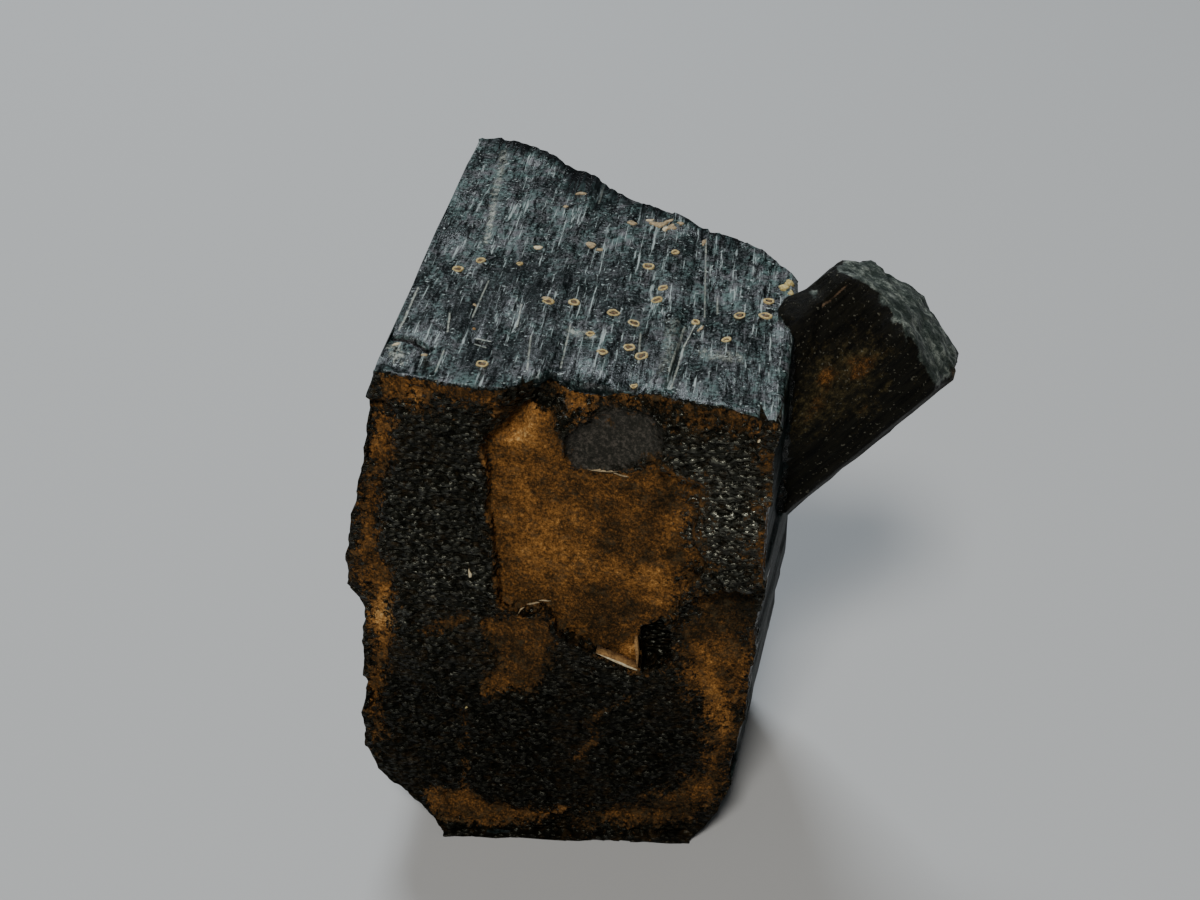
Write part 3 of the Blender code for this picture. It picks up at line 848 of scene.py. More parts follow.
def noise(tree, vector, scale, detail=3.0, rough=0.55, twist=0.0):
    made = node(tree, "ShaderNodeTexNoise", Vector=vector, Scale=scale, Detail=detail,
                Roughness=rough, Distortion=twist)
    return made.outputs[0]


def beads(tree, vector, scale):
    """Height from 0 to 1 of round beads packed side by side."""
    cells = node(tree, "ShaderNodeTexVoronoi", Vector=vector, Scale=scale, Randomness=0.9)
    away = times(tree, cells.outputs["Distance"], 1.7)
    return less(tree, 1.0, times(tree, away, away))


def threshold(tree, value, low, high):
    """0 below low, 1 above high, with a soft step between."""
    settings = [("interpolation_type", "SMOOTHSTEP")]
    made = node(tree, "ShaderNodeMapRange", settings, Value=value, i1=low, i2=high)
    return made.outputs[0]


def mix_colours(tree, share, first, second):
    made = node(tree, "ShaderNodeMix", [("data_type", "RGBA")], i0=share)
    for socket, colour in ((made.inputs[6], first), (made.inputs[7], second)):
        if isinstance(colour, bpy.types.NodeSocket):
            tree.links.new(colour, socket)
        else:
            socket.default_value = (*colour, 1.0)
    return made.outputs[2]


def mix_numbers(tree, share, first, second):
    return node(tree, "ShaderNodeMix", i0=share, i2=first, i3=second).outputs[0]


def stored(tree, name):
    return node(tree, "ShaderNodeAttribute", [("attribute_name", name)]).outputs["Fac"]


def colour_steps(tree, value, steps):
    """A colour ramp from (place, colour) pairs."""
    made = node(tree, "ShaderNodeValToRGB", i0=value)
    bar = made.color_ramp
    while len(bar.elements) < len(steps):
        bar.elements.new(1.0)
    for element, (place, colour) in zip(bar.elements, steps):
        element.position = place
        element.color = (*colour, 1.0)
    return made.outputs[0]


def bump(tree, height, depth_mm, below=None):
    """Turn a height into a bump of that depth, on top of an earlier bump."""
    made = node(tree, "ShaderNodeBump", Height=height, Distance=depth_mm * MM, Strength=1.0)
    if below is not None:
        tree.links.new(below, made.inputs["Normal"])
    return made.outputs[0]


def finish_named(name):
    """A new finish: its material, its node tree and its surface shader."""
    material = bpy.data.materials.new(name)
    material.use_nodes = True
    return material, material.node_tree, material.node_tree.nodes["Principled BSDF"]


def feed(shader, name, value):
    shader.id_data.links.new(value, shader.inputs[name])


# %% [markdown]
# ## The rust
#
# Limonite is a matte, earthy crust whose colour runs from dark brown through rust to
# yellow ochre, mottled at every scale.  One colour ramp holds those steps, and the stored
# tone decides where on it each place lies.

# %% Rust colours
RUST_STEPS = [
    (0.00, (0.010, 0.008, 0.005)),
    (0.28, (0.050, 0.026, 0.009)),
    (0.45, (0.134, 0.058, 0.015)),
    (0.65, (0.280, 0.122, 0.030)),
    (0.85, (0.490, 0.235, 0.062)),
    (1.00, (0.700, 0.430, 0.160)),
]
EARTH = (0.070, 0.053, 0.028)


def spread(tree, value, share):
    """A noise value turned into a number that strays from 0 by up to half the share."""
    made = sums(tree, "MULTIPLY_ADD", value, share)
    made.node.inputs[2].default_value = -0.5 * share
    return made


def rust_colour(tree, place, tone):
    """Rust, mottled in clouds and in grains, with dull grey-brown earth here and there."""
    cloud = spread(tree, noise(tree, place, 1.0, 4.0, 0.65), 0.85)
    grain = spread(tree, noise(tree, place, 6.0, 3.0, 0.9), 1.75)
    value = plus(tree, cloud, grain, tone)
    earth = threshold(tree, noise(tree, place, 1.8, 4.0, 0.8), 0.50, 0.66)
    colour = colour_steps(tree, value, RUST_STEPS)
    return mix_colours(tree, times(tree, earth, 0.45), colour, EARTH)


def rust_share(tree, place, ragged):
    """Where the rust lies: the stored distance, made ragged by two sizes of noise."""
    coarse = spread(tree, noise(tree, place, 0.9, 5.0, 0.7), ragged)
    fine = spread(tree, noise(tree, place, 3.6, 4.0, 0.8), ragged)
    edge = plus(tree, stored(tree, "rust"), plus(tree, coarse, fine))
    return threshold(tree, edge, -0.08, 0.12)


# %% [markdown]
# ## The front crust
#
# Black pebbles with a dull gloss, so that each one catches a small highlight, with rust
# in the bare places and a little rust caught between the pebbles.  The larger pebbles are
# in the mesh, and the shader lays beads of a third of a millimetre over them.  Handling
# has polished their tops and left the gaps dull.  The facet under the upper edge is dark
# grey, grainy and almost without relief.

# %% Front crust material
PEBBLE_BLACK = (0.0064, 0.0064, 0.0042)
# Painted shade: the crust's black is darker towards the foot, where less light reaches the front.
FOOT_SHADE_BLACK = (0.0036, 0.0036, 0.0022)        # towards the foot
RUSTY_DIRT = (0.050, 0.030, 0.012)          # caught between the pebbles
GREY_STEPS = [(0.38, (0.004, 0.004, 0.003)), (0.50, (0.020, 0.018, 0.015)), (0.64, (0.090, 0.076, 0.062))]


def front_crust():
    material, tree, shader = finish_named("pebbled_crust")
    place = millimetres(tree)
    pebble = stored(tree, "pebble")
    low = stored(tree, "low")
    glassy = threshold(tree, stored(tree, "glassy"), -0.05, 0.10)
    soft = spread(tree, noise(tree, place, 1.8, 5.0, 0.8), 3.4)
    facet = threshold(tree, plus(tree, stored(tree, "grey_facet"), soft), -0.25, 0.35)
    rusty = rust_share(tree, place, 1.20)
    rusty = times(tree, rusty, mix_numbers(tree, glassy, 1.0, 0.0))

    hollow = threshold(tree, pebble, 0.55, 0.15)
    dirt = threshold(tree, noise(tree, place, 1.6, 5.0, 0.7), 0.42, 0.66)
    dirt = times(tree, times(tree, dirt, hollow), 0.45)
    # Painted shade: the stored number darkens the black towards the foot.
    black = mix_colours(tree, low, PEBBLE_BLACK, FOOT_SHADE_BLACK)
    black = mix_colours(tree, dirt, black, RUSTY_DIRT)
    grain = noise(tree, place, 4.0, 4.0, 0.9)
    colour = mix_colours(tree, facet, black, colour_steps(tree, grain, GREY_STEPS))
    colour = mix_colours(tree, rusty, colour, rust_colour(tree, place, stored(tree, "tone")))
    feed(shader, "Base Color", colour)

    gloss = mix_numbers(tree, noise(tree, place, 2.6, 3.0), 0.12, 0.34)
    gloss = mix_numbers(tree, facet, gloss, 0.55)
    gloss = mix_numbers(tree, glassy, gloss, 0.16)
    feed(shader, "Roughness", mix_numbers(tree, rusty, gloss, 0.90))
    crust = less(tree, 1.0, mix_numbers(tree, rusty, facet, 1.0))
    bead = times(tree, beads(tree, millimetres(tree, (1.0, 1.0, 1.7)), 2.4), crust)
    raised = threshold(tree, plus(tree, bead, pebble), 0.70, 1.60)
    even = stored(tree, "shine")
    shine = mix_numbers(tree, facet, times(tree, even, mix_numbers(tree, raised, 0.55, 2.7)), even)
    feed(shader, "Specular IOR Level", mix_numbers(tree, rusty, shine, 0.10))
    shader.inputs["Specular Tint"].default_value = (1.0, 1.0, 0.80, 1.0)

    fine = bump(tree, noise(tree, place, 5.0, 4.0, 0.75), 0.050)
    feed(shader, "Normal", bump(tree, bead, 0.12, fine))
    return material


# %% [markdown]
# ## The striped side faces
#
# The side faces are blue-black and glossy.  Their look comes from thin streaks along the
# crystal, dark gaps and painted glints on hair-thin lines, over a speckled haze of dust and
# painted sheen that turns from teal to a purplish grey.  The painted sheen and glints are
# strong on the upper face and faint on the flanks.  The noise is squeezed along the crystal's
# axis so that it draws streaks.  The longer pale lines, partly pale streaks and partly painted
# glints, have a place of their own, given as across and back.

# %% Side face material
# Pale lines, partly pale streaks and partly painted glints such as the cluster at the left tip: start, end,
# half width and strength.
PALE_LINES = [
    ((4.2, 28.4), (4.7, 22.4), 0.24, 0.60), ((4.8, 21.8), (5.3, 16.4), 0.18, 0.95),
    ((16.0, 8.5), (16.0, 3.8), 0.30, 0.36), ((11.2, 7.4), (12.2, 6.9), 0.30, 0.85),
    ((17.9, 6.0), (19.2, 5.5), 0.42, 0.58), ((2.9, 4.7), (3.5, 3.5), 0.32, 1.00),
    ((17.1, 8.8), (16.7, 6.8), 0.045, 0.95), ((16.7, 6.8), (16.4, 2.6), 0.045, 0.75),
    ((16.6, 8.4), (16.2, 3.9), 0.05, 0.75), ((17.4, 8.6), (17.3, 8.0), 0.045, 0.95),
    ((6.2, 12.0), (6.1, 8.1), 0.045, 0.65), ((8.3, 9.7), (8.4, 7.6), 0.045, 0.80),
    ((2.8, 10.7), (2.8, 6.3), 0.06, 0.85), ((9.3, 6.4), (9.6, 3.4), 0.045, 0.65),
    ((11.0, 8.1), (11.1, 4.0), 0.045, 0.65), ((14.5, 7.7), (14.7, 4.7), 0.05, 0.55),
    ((5.4, 4.6), (5.4, 2.6), 0.05, 0.75), ((4.9, 8.4), (5.2, 6.4), 0.05, 0.85),
    ((6.7, 5.95), (7.4, 5.85), 0.045, 0.75), ((6.7, 5.4), (7.3, 5.2), 0.045, 0.75),
    ((17.0, 18.0), (17.5, 9.4), 0.045, 0.70), ((18.0, 11.7), (18.1, 10.0), 0.045, 0.55),
    ((10.7, 25.2), (10.7, 21.9), 0.06, 0.50),
]
BLUE_BLACK = (0.0040, 0.0085, 0.0080)
GAP_BLACK = (0.0012, 0.002, 0.0022)
CRACK_SHADE = (0.001, 0.001, 0.001)
TEAL_DUST_SHEEN = (0.118, 0.190, 0.178)
PURPLE_DUST_SHEEN = (0.156, 0.154, 0.164)
HAIR_GLINT = (0.42, 0.49, 0.47)
PALE_LINE = (0.46, 0.49, 0.42)


def striped_faces():
    material, tree, shader = finish_named("striped_faces")
    place = millimetres(tree)
    upper = stored(tree, "upper")
    hair = noise(tree, millimetres(tree, (1.0, 0.035, 1.0)), 6.5, 3.0, 0.75)
    dash = noise(tree, millimetres(tree, (1.0, 0.16, 1.0)), 4.0, 4.0, 0.75)
    cloud = noise(tree, millimetres(tree, (1.0, 0.45, 1.0)), 0.55, 4.0, 0.65)
    dot = noise(tree, place, 5.2, 3.0, 0.8)
    tint = threshold(tree, noise(tree, place, 1.1, 4.0, 0.7), 0.42, 0.60)

    mottled = plus(tree, cloud, stored(tree, "dust_and_sheen"), spread(tree, dash, 0.60), spread(tree, dot, 1.40))
    # Dust and painted sheen, strong on the upper face and faint on the flanks.
    dust_and_sheen = times(tree, threshold(tree, mottled, 0.37, 0.90), mix_numbers(tree, upper, 0.15, 1.0))
    dust_sheen_tint = mix_colours(tree, tint, TEAL_DUST_SHEEN, PURPLE_DUST_SHEEN)
    colour = mix_colours(tree, dust_and_sheen, BLUE_BLACK, dust_sheen_tint)
    gap = threshold(tree, dash, 0.50, 0.38)
    colour = mix_colours(tree, times(tree, gap, 0.8), colour, GAP_BLACK)
    # Painted glints: bright lines along the ribs and small sparks, strong on the upper face.
    lean = plus(tree, hair, spread(tree, cloud, 0.30))
    line = times(tree, threshold(tree, lean, 0.585, 0.65), threshold(tree, dash, 0.42, 0.56))
    spark = threshold(tree, noise(tree, place, 4.6, 2.0, 0.6), 0.65, 0.71)
    line = sums(tree, "MAXIMUM", line, spark)
    line = times(tree, line, mix_numbers(tree, upper, 0.08, 0.95))
    colour = mix_colours(tree, line, colour, HAIR_GLINT)
    flat = millimetres(tree, (1.0, 1.0, 0.0))
    speck = noise(tree, place, 3.2, 5.0, 0.85)
    pale = 0.0
    for start, end, width, strength in PALE_LINES:
        away = near_line(tree, flat, (*start, 0.0), (*end, 0.0))
        away = plus(tree, away, spread(tree, dash, 2.0 * width), spread(tree, dot, 3.2 * width))
        share = times(tree, threshold(tree, away, 1.3 * width, 0.4 * width), strength)
        low, high = (0.44, 0.60) if width > 0.15 else (0.36, 0.54)
        share = times(tree, share, threshold(tree, speck, low, high))
        pale = sums(tree, "MAXIMUM", share, pale)
    # The pale lines hold painted glints as well as pale streaks.
    pale = times(tree, pale, upper)
    colour = mix_colours(tree, pale, colour, PALE_LINE)
    # Painted shade inside the three deepest cracks.
    for path, depth, width in TOP_CRACKS[:3]:
        for start, end in zip(path, path[1:]):
            away = near_line(tree, flat, (*start, 0.0), (*end, 0.0))
            crack = threshold(tree, away, 1.3 * width, 0.8 * width)
            colour = mix_colours(tree, crack, colour, CRACK_SHADE)
    feed(shader, "Base Color", colour)

    gloss = mix_numbers(tree, dot, 0.12, 0.40)
    gloss = mix_numbers(tree, dust_and_sheen, gloss, 0.42)
    gloss = mix_numbers(tree, upper, 0.50, gloss)
    feed(shader, "Roughness", mix_numbers(tree, line, gloss, 0.45))
    shine = mix_numbers(tree, gap, 0.34, 0.08)
    feed(shader, "Specular IOR Level", mix_numbers(tree, upper, 0.07, shine))
    narrow = bump(tree, hair, 0.060)
    dented = bump(tree, dash, 0.060, narrow)
    feed(shader, "Normal", bump(tree, dot, 0.015, dented))
    return material


# %% [markdown]
# ## The broken end
#
# Freshly broken ilvaite is pitch black with an uneven, slightly greasy lustre.  This
# break is old, so thin rust and grey dust lie in its hollows.

# %% Break material
PITCH_BLACK = (0.004, 0.0055, 0.005)
GREY_DUST = (0.085, 0.092, 0.085)


def broken_end():
    material, tree, shader = finish_named("broken_end")
    place = millimetres(tree)
    rusty = times(tree, rust_share(tree, place, 1.4), 0.75)
    rust = rust_colour(tree, place, stored(tree, "tone"))
    dust = threshold(tree, noise(tree, place, 1.3, 6.0, 0.7), 0.52, 0.70)
    black = mix_colours(tree, times(tree, dust, 0.4), PITCH_BLACK, GREY_DUST)
    feed(shader, "Base Color", mix_colours(tree, rusty, black, rust))
    gloss = mix_numbers(tree, noise(tree, place, 2.5, 4.0), 0.12, 0.42)
    feed(shader, "Roughness", mix_numbers(tree, rusty, gloss, 0.85))
    shell = bump(tree, noise(tree, place, 2.4, 6.0, 0.7, 0.8), 0.220)
    feed(shader, "Normal", bump(tree, noise(tree, place, 8.0, 3.0), 0.040, shell))
    return material


# %% [markdown]
# ## The small crystal
#
# It is the same mineral, but duller: soot black faces with olive-brown stains, and a worn
# end where the crystal is rubbed to a grey-green grain.  Its streaks follow its own axis,
# so the coordinates are turned before they are squeezed.

# %% Small crystal material
# Pale lines on its ridges in its own measures: start, end, half width and strength.
RIDGE_LINES = [
    ((-2.72, 3.1, 0.6), (-2.7, 3.1, -0.9), 0.07, 0.8), ((-2.7, 3.1, -0.9), (-2.95, 2.95, -2.9), 0.08, 0.5),
    ((0.8, 3.96, 0.3), (1.0, 4.02, -0.8), 0.06, 0.6),
]
SOOT_DARK = (0.0015, 0.0016, 0.0012)
SOOT_LIGHT = (0.0105, 0.0100, 0.0065)
OLIVE_STEPS = [(0.38, (0.004, 0.0035, 0.002)), (0.64, (0.088, 0.068, 0.028))]
WORN_STEPS = [(0.36, (0.005, 0.010, 0.008)), (0.50, (0.048, 0.064, 0.053)), (0.66, (0.32, 0.35, 0.30))]
WORN_SHADE = (0.012, 0.020, 0.015)
TAN_RIDGE = (0.30, 0.19, 0.11)
GLINT = (0.28, 0.27, 0.20)


def small_crystal():
    material, tree, shader = finish_named("small_crystal")
    place = millimetres(tree)
    away = vectors(tree, "SUBTRACT", place, tuple(SIDE_END)).outputs[0]
    turned = [vectors(tree, "DOT_PRODUCT", away, tuple(axis)).outputs["Value"]
              for axis in (SIDE_ACROSS, SIDE_FACING, SIDE_AXIS)]
    own = node(tree, "ShaderNodeCombineXYZ", X=turned[0], Y=turned[1], Z=turned[2]).outputs[0]
    thin = noise(tree, vectors(tree, "MULTIPLY", own, (1.0, 1.0, 0.10)).outputs[0], 5.0, 4.0, 0.65)
    streaky = noise(tree, vectors(tree, "MULTIPLY", own, (1.0, 1.0, 0.40)).outputs[0], 2.0, 5.0, 0.8)
    mottle = noise(tree, place, 3.4, 5.0, 0.8)

    edge = plus(tree, stored(tree, "rust"), spread(tree, streaky, 2.4), spread(tree, mottle, 1.8))
    rusty = threshold(tree, edge, -0.35, 0.75)
    rust = rust_colour(tree, place, times(tree, stored(tree, "tone"), 0.75))
    olive = colour_steps(tree, mottle, OLIVE_STEPS)
    stain = mix_colours(tree, threshold(tree, stored(tree, "rust"), 0.10, 0.60), olive, rust)
    soot = mix_colours(tree, threshold(tree, thin, 0.28, 0.72), SOOT_DARK, SOOT_LIGHT)
    body = mix_colours(tree, rusty, soot, stain)
    spark = threshold(tree, noise(tree, place, 5.5, 2.0, 0.7), 0.64, 0.70)
    body = mix_colours(tree, times(tree, spark, 0.36), body, GLINT)
    for start, end, width, strength in RIDGE_LINES:
        gap = plus(tree, near_line(tree, own, start, end), spread(tree, mottle, 2.0 * width))
        line = times(tree, threshold(tree, gap, 1.3 * width, 0.3 * width), strength)
        body = mix_colours(tree, line, body, TAN_RIDGE)

    tip = threshold(tree, plus(tree, stored(tree, "tip"), spread(tree, mottle, 1.2)), 0.30, 0.70)
    grain = noise(tree, place, 1.9, 6.0, 0.8)
    worn = colour_steps(tree, grain, WORN_STEPS)
    shade = threshold(tree, noise(tree, place, 0.8, 3.0), 0.44, 0.60)
    worn = mix_colours(tree, times(tree, shade, 0.65), worn, WORN_SHADE)
    worn = mix_colours(tree, times(tree, rusty, 0.6), worn, rust)
    feed(shader, "Base Color", mix_colours(tree, tip, body, worn))
    gloss = mix_numbers(tree, thin, 0.35, 0.65)
    feed(shader, "Roughness", mix_numbers(tree, rusty, gloss, 0.80))
    feed(shader, "Specular IOR Level", mix_numbers(tree, tip, 0.07, 0.25))
    lines = bump(tree, thin, 0.035)
    feed(shader, "Normal", bump(tree, mottle, 0.080, lines))
    return material


# %% [markdown]
# ## Give each face its finish
#
# A face takes the finish of the region that most of it lies in.

# %% Assign the finishes
write_places(skin_mesh, to_metres(final_places))
skin_mesh.shade_smooth()
skin_mesh.materials.clear()
for make in (striped_faces, front_crust, broken_end, small_crystal):
    skin_mesh.materials.append(make())
weights = np.stack([final_regions["sides"], final_regions["front"], final_regions["broken"], small])
corners = np.zeros(len(skin_mesh.loops), np.int32)
skin_mesh.loops.foreach_get("vertex_index", corners)
first_corners = np.zeros(len(skin_mesh.polygons), np.int32)
skin_mesh.polygons.foreach_get("loop_start", first_corners)
face_weights = np.add.reduceat(weights[:, corners], first_corners, axis=1)
finish_numbers = face_weights.argmax(axis=0).astype(np.int32)
skin_mesh.polygons.foreach_set("material_index", finish_numbers)
print("faces with each finish:", np.bincount(finish_numbers).tolist())
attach(skin, "root")
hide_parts(NODE)

# %% [markdown]
# ## Small growths on the skin
#
# The upper face carries some twenty small ochre rings, each the rim of a burst bubble of
# limonite with a brown middle, and a few crumbs of cream coloured crust.  They are laid
# on the finished skin by a ray cast from above, so that they follow its ribs.  On the front
# end two thin slivers mark a fresh chip, and three thin tan crumbs along the lower rim of the
# centre plate are a painted highlight where that rim faces up.  Every one is a small closed
# solid, sunk a little into the stone.

# %% Laying things on the skin
surface = BVHTree.FromPolygons(final_places.tolist(), [list(face.vertices) for face in skin_mesh.polygons])
UPPER, FRONT = "upper", "front"
RIM, MIDDLE = range(2)                      # finishes of the rings
TAN, CREAM, YELLOW, ORANGE = range(4)       # finishes of the crumbs and slivers


def outward(side):
    return Vector((0, 0, 1)) if side == UPPER else Vector((0, -1, 0))


def lay_on(side, u, v):
    """The skin's place at (across, back) on the upper face or (across, up) on the front."""
    start = Vector((u, v, 40.0)) if side == UPPER else Vector((u, -10.0, v))
    return surface.ray_cast(start, -outward(side))[0]


class Shape:
    """Points and faces of one piece, each face with the number of its finish."""

    def __init__(self):
        self.points, self.faces, self.finishes = [], [], []

    def add(self, points, faces, finish):
        first = len(self.points)
        self.points += [tuple(point) for point in points]
        self.faces += [[first + corner for corner in face] for face in faces]
        self.finishes += [finish] * len(faces)


def uneven(count, amount, layer):
    """Numbers around 1 that change smoothly around a circle."""
    turn = np.arange(count) * 2 * math.pi / count
    return 1 + amount * smooth_noise(1.4 * np.cos(turn) + 7, 1.4 * np.sin(turn) + 7, 0 * turn, layer)


RING_TUBE = 0.065                           # half the thickness of a ring's tube


def add_ring(shape, u, v, radius, layer):
    """An uneven tube, bent into a ring that follows the upper face."""
    around, across = 18, 6
    reach = radius * uneven(around, 0.20, layer)
    thick = RING_TUBE * uneven(around, 0.45, layer + 1)
    points = []
    for i in range(around):
        turn = 2 * math.pi * i / around
        away = Vector((math.cos(turn), math.sin(turn), 0))
        under = lay_on(UPPER, u + reach[i] * math.cos(turn), v + reach[i] * math.sin(turn))
        for k in range(across):
            lean = 2 * math.pi * k / across
            out = reach[i] + thick[i] * math.cos(lean)
            middle = under - away * reach[i]
            points.append(middle + away * out + outward(UPPER) * thick[i] * 0.8 * math.sin(lean))
    faces = [[i * across + k, i * across + (k + 1) % across,
              (i + 1) % around * across + (k + 1) % across, (i + 1) % around * across + k]
             for i in range(around) for k in range(across)]
    shape.add(points, faces, RIM)


def add_sliver(shape, outline, lift, finish):
    """A thin sharp plate on the front, with a low crest along its middle and golden sides."""
    count = len(outline)
    middle = np.mean(outline, axis=0)
    front = [(u, front_depth(u, v) - lift, v) for u, v in outline]
    crest = [(u, front_depth(u, v) - lift - 0.02, v) for u, v in 0.5 * (np.array(outline) + middle)]
    back = [(u, front_depth(u, v) + 0.5, v) for u, v in outline]
    shown = [list(range(count, 2 * count))]
    hidden = [list(range(3 * count - 1, 2 * count - 1, -1))]
    for i in range(count):
        j = (i + 1) % count
        shown.append([i, j, count + j, count + i])
        hidden.append([j, i, 2 * count + i, 2 * count + j])
    shape.add(front + crest + back, shown + hidden, finish)
    shape.finishes[-len(hidden):] = [ORANGE] * len(hidden)


def add_crumb(shape, side, u, v, half, turn, thickness, finish, layer):
    """A low, uneven crumb: half holds its half length and half width in millimetres."""
    around = 14
    reach = uneven(around, 0.45, layer)
    points = [lay_on(side, u, v) + outward(side) * thickness]
    for share, lift in ((0.6, 0.8 * thickness), (1.0, -0.02)):
        for i in range(around):
            angle = 2 * math.pi * i / around
            a = share * half[0] * reach[i] * math.cos(angle)
            b = share * half[1] * reach[i] * math.sin(angle)
            place = lay_on(side, u + a * math.cos(turn) - b * math.sin(turn),
                           v + a * math.sin(turn) + b * math.cos(turn))
            points.append(place + outward(side) * lift)
    points.append(lay_on(side, u, v) - outward(side) * 0.12)
    faces = []
    for i in range(around):
        j = (i + 1) % around
        faces += [[0, 1 + i, 1 + j], [1 + i, 1 + around + i, 1 + around + j, 1 + j],
                  [1 + around + i, 1 + 2 * around, 1 + around + j]]
    shape.add(points, faces, finish)


# %% Where they lie
# Rings: across, back and outer radius; the middle of the tube runs a little inside it.
RINGS = [
    (4.4, 13.0, 0.27), (5.4, 14.1, 0.25), (9.6, 10.0, 0.26), (10.9, 10.2, 0.27), (13.0, 9.3, 0.29),
    (14.1, 8.4, 0.27), (14.2, 14.5, 0.30), (15.2, 12.0, 0.25), (15.0, 10.9, 0.27), (12.9, 5.4, 0.23),
    (14.1, 6.0, 0.28), (14.8, 5.3, 0.30), (7.4, 3.6, 0.27), (15.5, 16.0, 0.20), (14.7, 2.7, 0.15),
    (20.6, 11.5, 0.26), (20.5, 10.0, 0.30), (19.2, 9.8, 0.29), (18.7, 7.2, 0.20), (17.1, 8.9, 0.17),
    (7.5, 13.9, 0.13), (12.1, 7.1, 0.20),
]
TUBE_AT = 0.88
# Crumbs: side, place, half length and half width, turn, thickness and finish.
CRUMBS = [
    (UPPER, 8.2, 16.1, (0.28, 0.22), 0.2, 0.05, CREAM), (UPPER, 10.9, 16.7, (0.45, 0.28), -0.9, 0.05, TAN),
    (UPPER, 11.4, 16.2, (0.30, 0.20), 0.3, 0.04, TAN), (UPPER, 12.8, 19.4, (0.30, 0.35), 0.0, 0.05, TAN),
    (UPPER, 14.3, 19.5, (0.55, 0.40), 0.4, 0.07, TAN), (UPPER, 15.0, 19.1, (0.40, 0.35), -0.3, 0.06, TAN),
    (UPPER, 14.8, 19.9, (0.35, 0.20), 0.0, 0.05, TAN), (UPPER, 13.8, 19.9, (0.30, 0.16), 0.5, 0.05, CREAM),
    (UPPER, 14.7, 19.1, (0.22, 0.30), 0.0, 0.06, CREAM), (UPPER, 15.5, 19.5, (0.20, 0.26), 0.0, 0.05, TAN),
    (UPPER, 16.9, 17.6, (0.14, 0.40), 0.0, 0.05, TAN),
    (UPPER, 9.5, 22.9, (0.35, 0.22), 0.2, 0.05, TAN), (UPPER, 21.3, 13.0, (0.30, 0.35), 0.1, 0.10, YELLOW),
    (UPPER, 21.6, 13.5, (0.28, 0.35), 0.4, 0.10, YELLOW),
    (UPPER, 21.7, 12.4, (0.22, 0.38), 0.1, 0.09, YELLOW),
    (UPPER, 21.5, 11.1, (0.16, 0.25), 0.0, 0.07, YELLOW), (UPPER, 17.4, 8.3, (0.10, 0.35), -0.5, 0.05, TAN),
    (UPPER, 8.9, 21.3, (0.18, 0.22), 0.0, 0.04, TAN), (UPPER, 3.0, 4.9, (0.22, 0.16), 0.2, 0.05, CREAM),
    (FRONT, 6.6, 18.75, (0.10, 0.26), 0.25, 0.09, CREAM),
    (FRONT, 6.0, 9.6, (0.11, 0.09), 0.0, 0.07, YELLOW), (FRONT, 13.3, 25.75, (0.65, 0.05), 0.05, 0.05, TAN),
    # The three thin tan crumbs at across 9.1 to 10.3 and up 16.4 to 17.0 are a painted highlight along the
    # plate's up-facing lower rim.
    (FRONT, 14.2, 25.6, (0.35, 0.05), -0.25, 0.05, TAN), (FRONT, 9.7, 16.75, (0.40, 0.06), 0.3, 0.05, TAN),
    (FRONT, 10.3, 17.0, (0.30, 0.05), 0.1, 0.05, TAN), (FRONT, 9.1, 16.4, (0.25, 0.05), 0.4, 0.05, TAN),
    (FRONT, 20.6, 29.0, (0.09, 0.09), 0.0, 0.05, CREAM), (UPPER, 9.5, 10.3, (0.26, 0.20), 0.2, 0.05, TAN),
    (UPPER, 6.0, 9.3, (0.12, 0.14), 0.0, 0.04, TAN), (UPPER, 4.5, 4.3, (0.20, 0.16), 0.0, 0.05, TAN),
    (UPPER, 6.4, 7.0, (0.14, 0.10), -0.6, 0.04, ORANGE),
]


# Slivers of a fresh break on the front: outline, height above the crust's floor, finish.
SLIVERS = [
    ([(13.0, 14.36), (13.6, 14.16), (14.3, 13.88), (15.15, 13.46), (15.15, 13.36), (14.6, 13.55),
      (14.1, 13.78), (13.6, 14.03)], 0.09, CREAM),
    ([(14.97, 15.4), (15.1, 15.4), (15.20, 14.55), (15.17, 13.5), (15.08, 13.5), (15.05, 14.4)], 0.0, ORANGE),
]

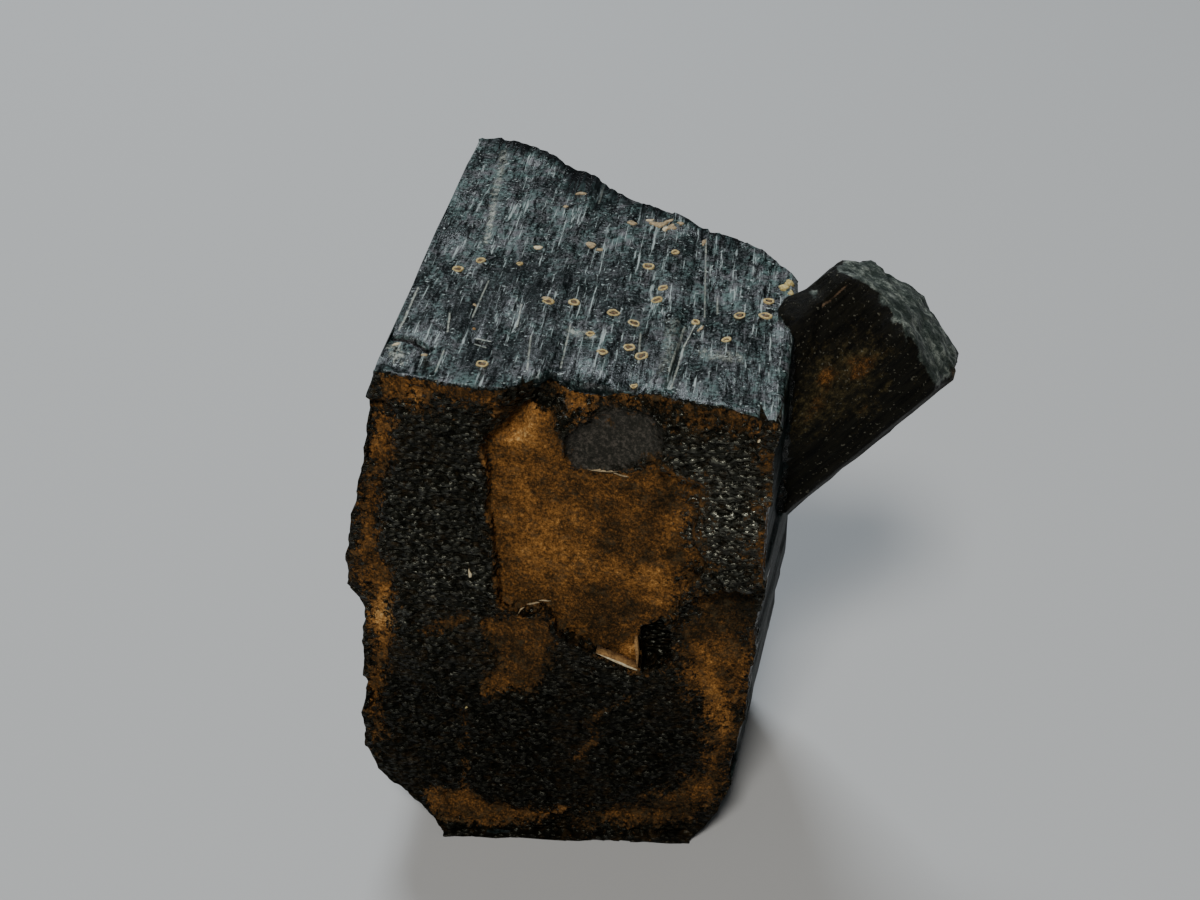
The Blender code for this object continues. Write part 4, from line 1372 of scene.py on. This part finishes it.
# %% Growth materials
def earthy(name, dark, light):
    """A matte, grainy crust between two colours."""
    material, tree, shader = finish_named(name)
    place = millimetres(tree)
    grain = noise(tree, place, 6.0, 4.0, 0.7)
    feed(shader, "Base Color", colour_steps(tree, grain, [(0.35, dark), (0.62, light)]))
    shader.inputs["Roughness"].default_value = 0.85
    feed(shader, "Normal", bump(tree, grain, 0.040))
    return material


def make_piece(name, shape, materials):
    mesh = bpy.data.meshes.new(name)
    mesh.from_pydata([tuple(point) for point in to_metres(shape.points)], [], shape.faces)
    for material in materials:
        mesh.materials.append(material)
    mesh.polygons.foreach_set("material_index", np.array(shape.finishes, np.int32))
    mesh.shade_smooth()
    welded = bmesh.new()
    welded.from_mesh(mesh)
    bmesh.ops.recalc_face_normals(welded, faces=welded.faces)
    welded.to_mesh(mesh)
    welded.free()
    piece = bpy.data.objects.new(name, mesh)
    bpy.context.scene.collection.objects.link(piece)
    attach(piece, "root")
    print(name, "triangles:", sum(len(face) - 2 for face in shape.faces))
    return piece


ring_shape = Shape()
for number, (u, v, outer) in enumerate(RINGS):
    radius = TUBE_AT * outer
    add_ring(ring_shape, u, v, radius, 200 + 3 * number)
    add_crumb(ring_shape, UPPER, u, v, (0.8 * radius, 0.8 * radius), 0.0, 0.02, MIDDLE, 300 + number)
make_piece("rust_rings", ring_shape, [
    earthy("ochre_rim", (0.31, 0.21, 0.07), (0.74, 0.60, 0.29)),
    earthy("brown_middle", (0.045, 0.026, 0.012), (0.20, 0.12, 0.05)),
])
crumb_shape = Shape()
for number, (side, u, v, half, turn, thickness, finish) in enumerate(CRUMBS):
    add_crumb(crumb_shape, side, u, v, half, turn, thickness, finish, 400 + number)
for outline, lift, finish in SLIVERS:
    add_sliver(crumb_shape, outline, lift, finish)
make_piece("cream_crumbs", crumb_shape, [
    earthy("tan_crumb", (0.20, 0.15, 0.08), (0.55, 0.42, 0.24)),
    earthy("cream_crumb", (0.45, 0.34, 0.18), (0.82, 0.72, 0.48)),
    earthy("yellow_crumb", (0.35, 0.26, 0.07), (0.75, 0.62, 0.28)),
    earthy("orange_crumb", (0.14, 0.065, 0.018), (0.44, 0.25, 0.085)),
])
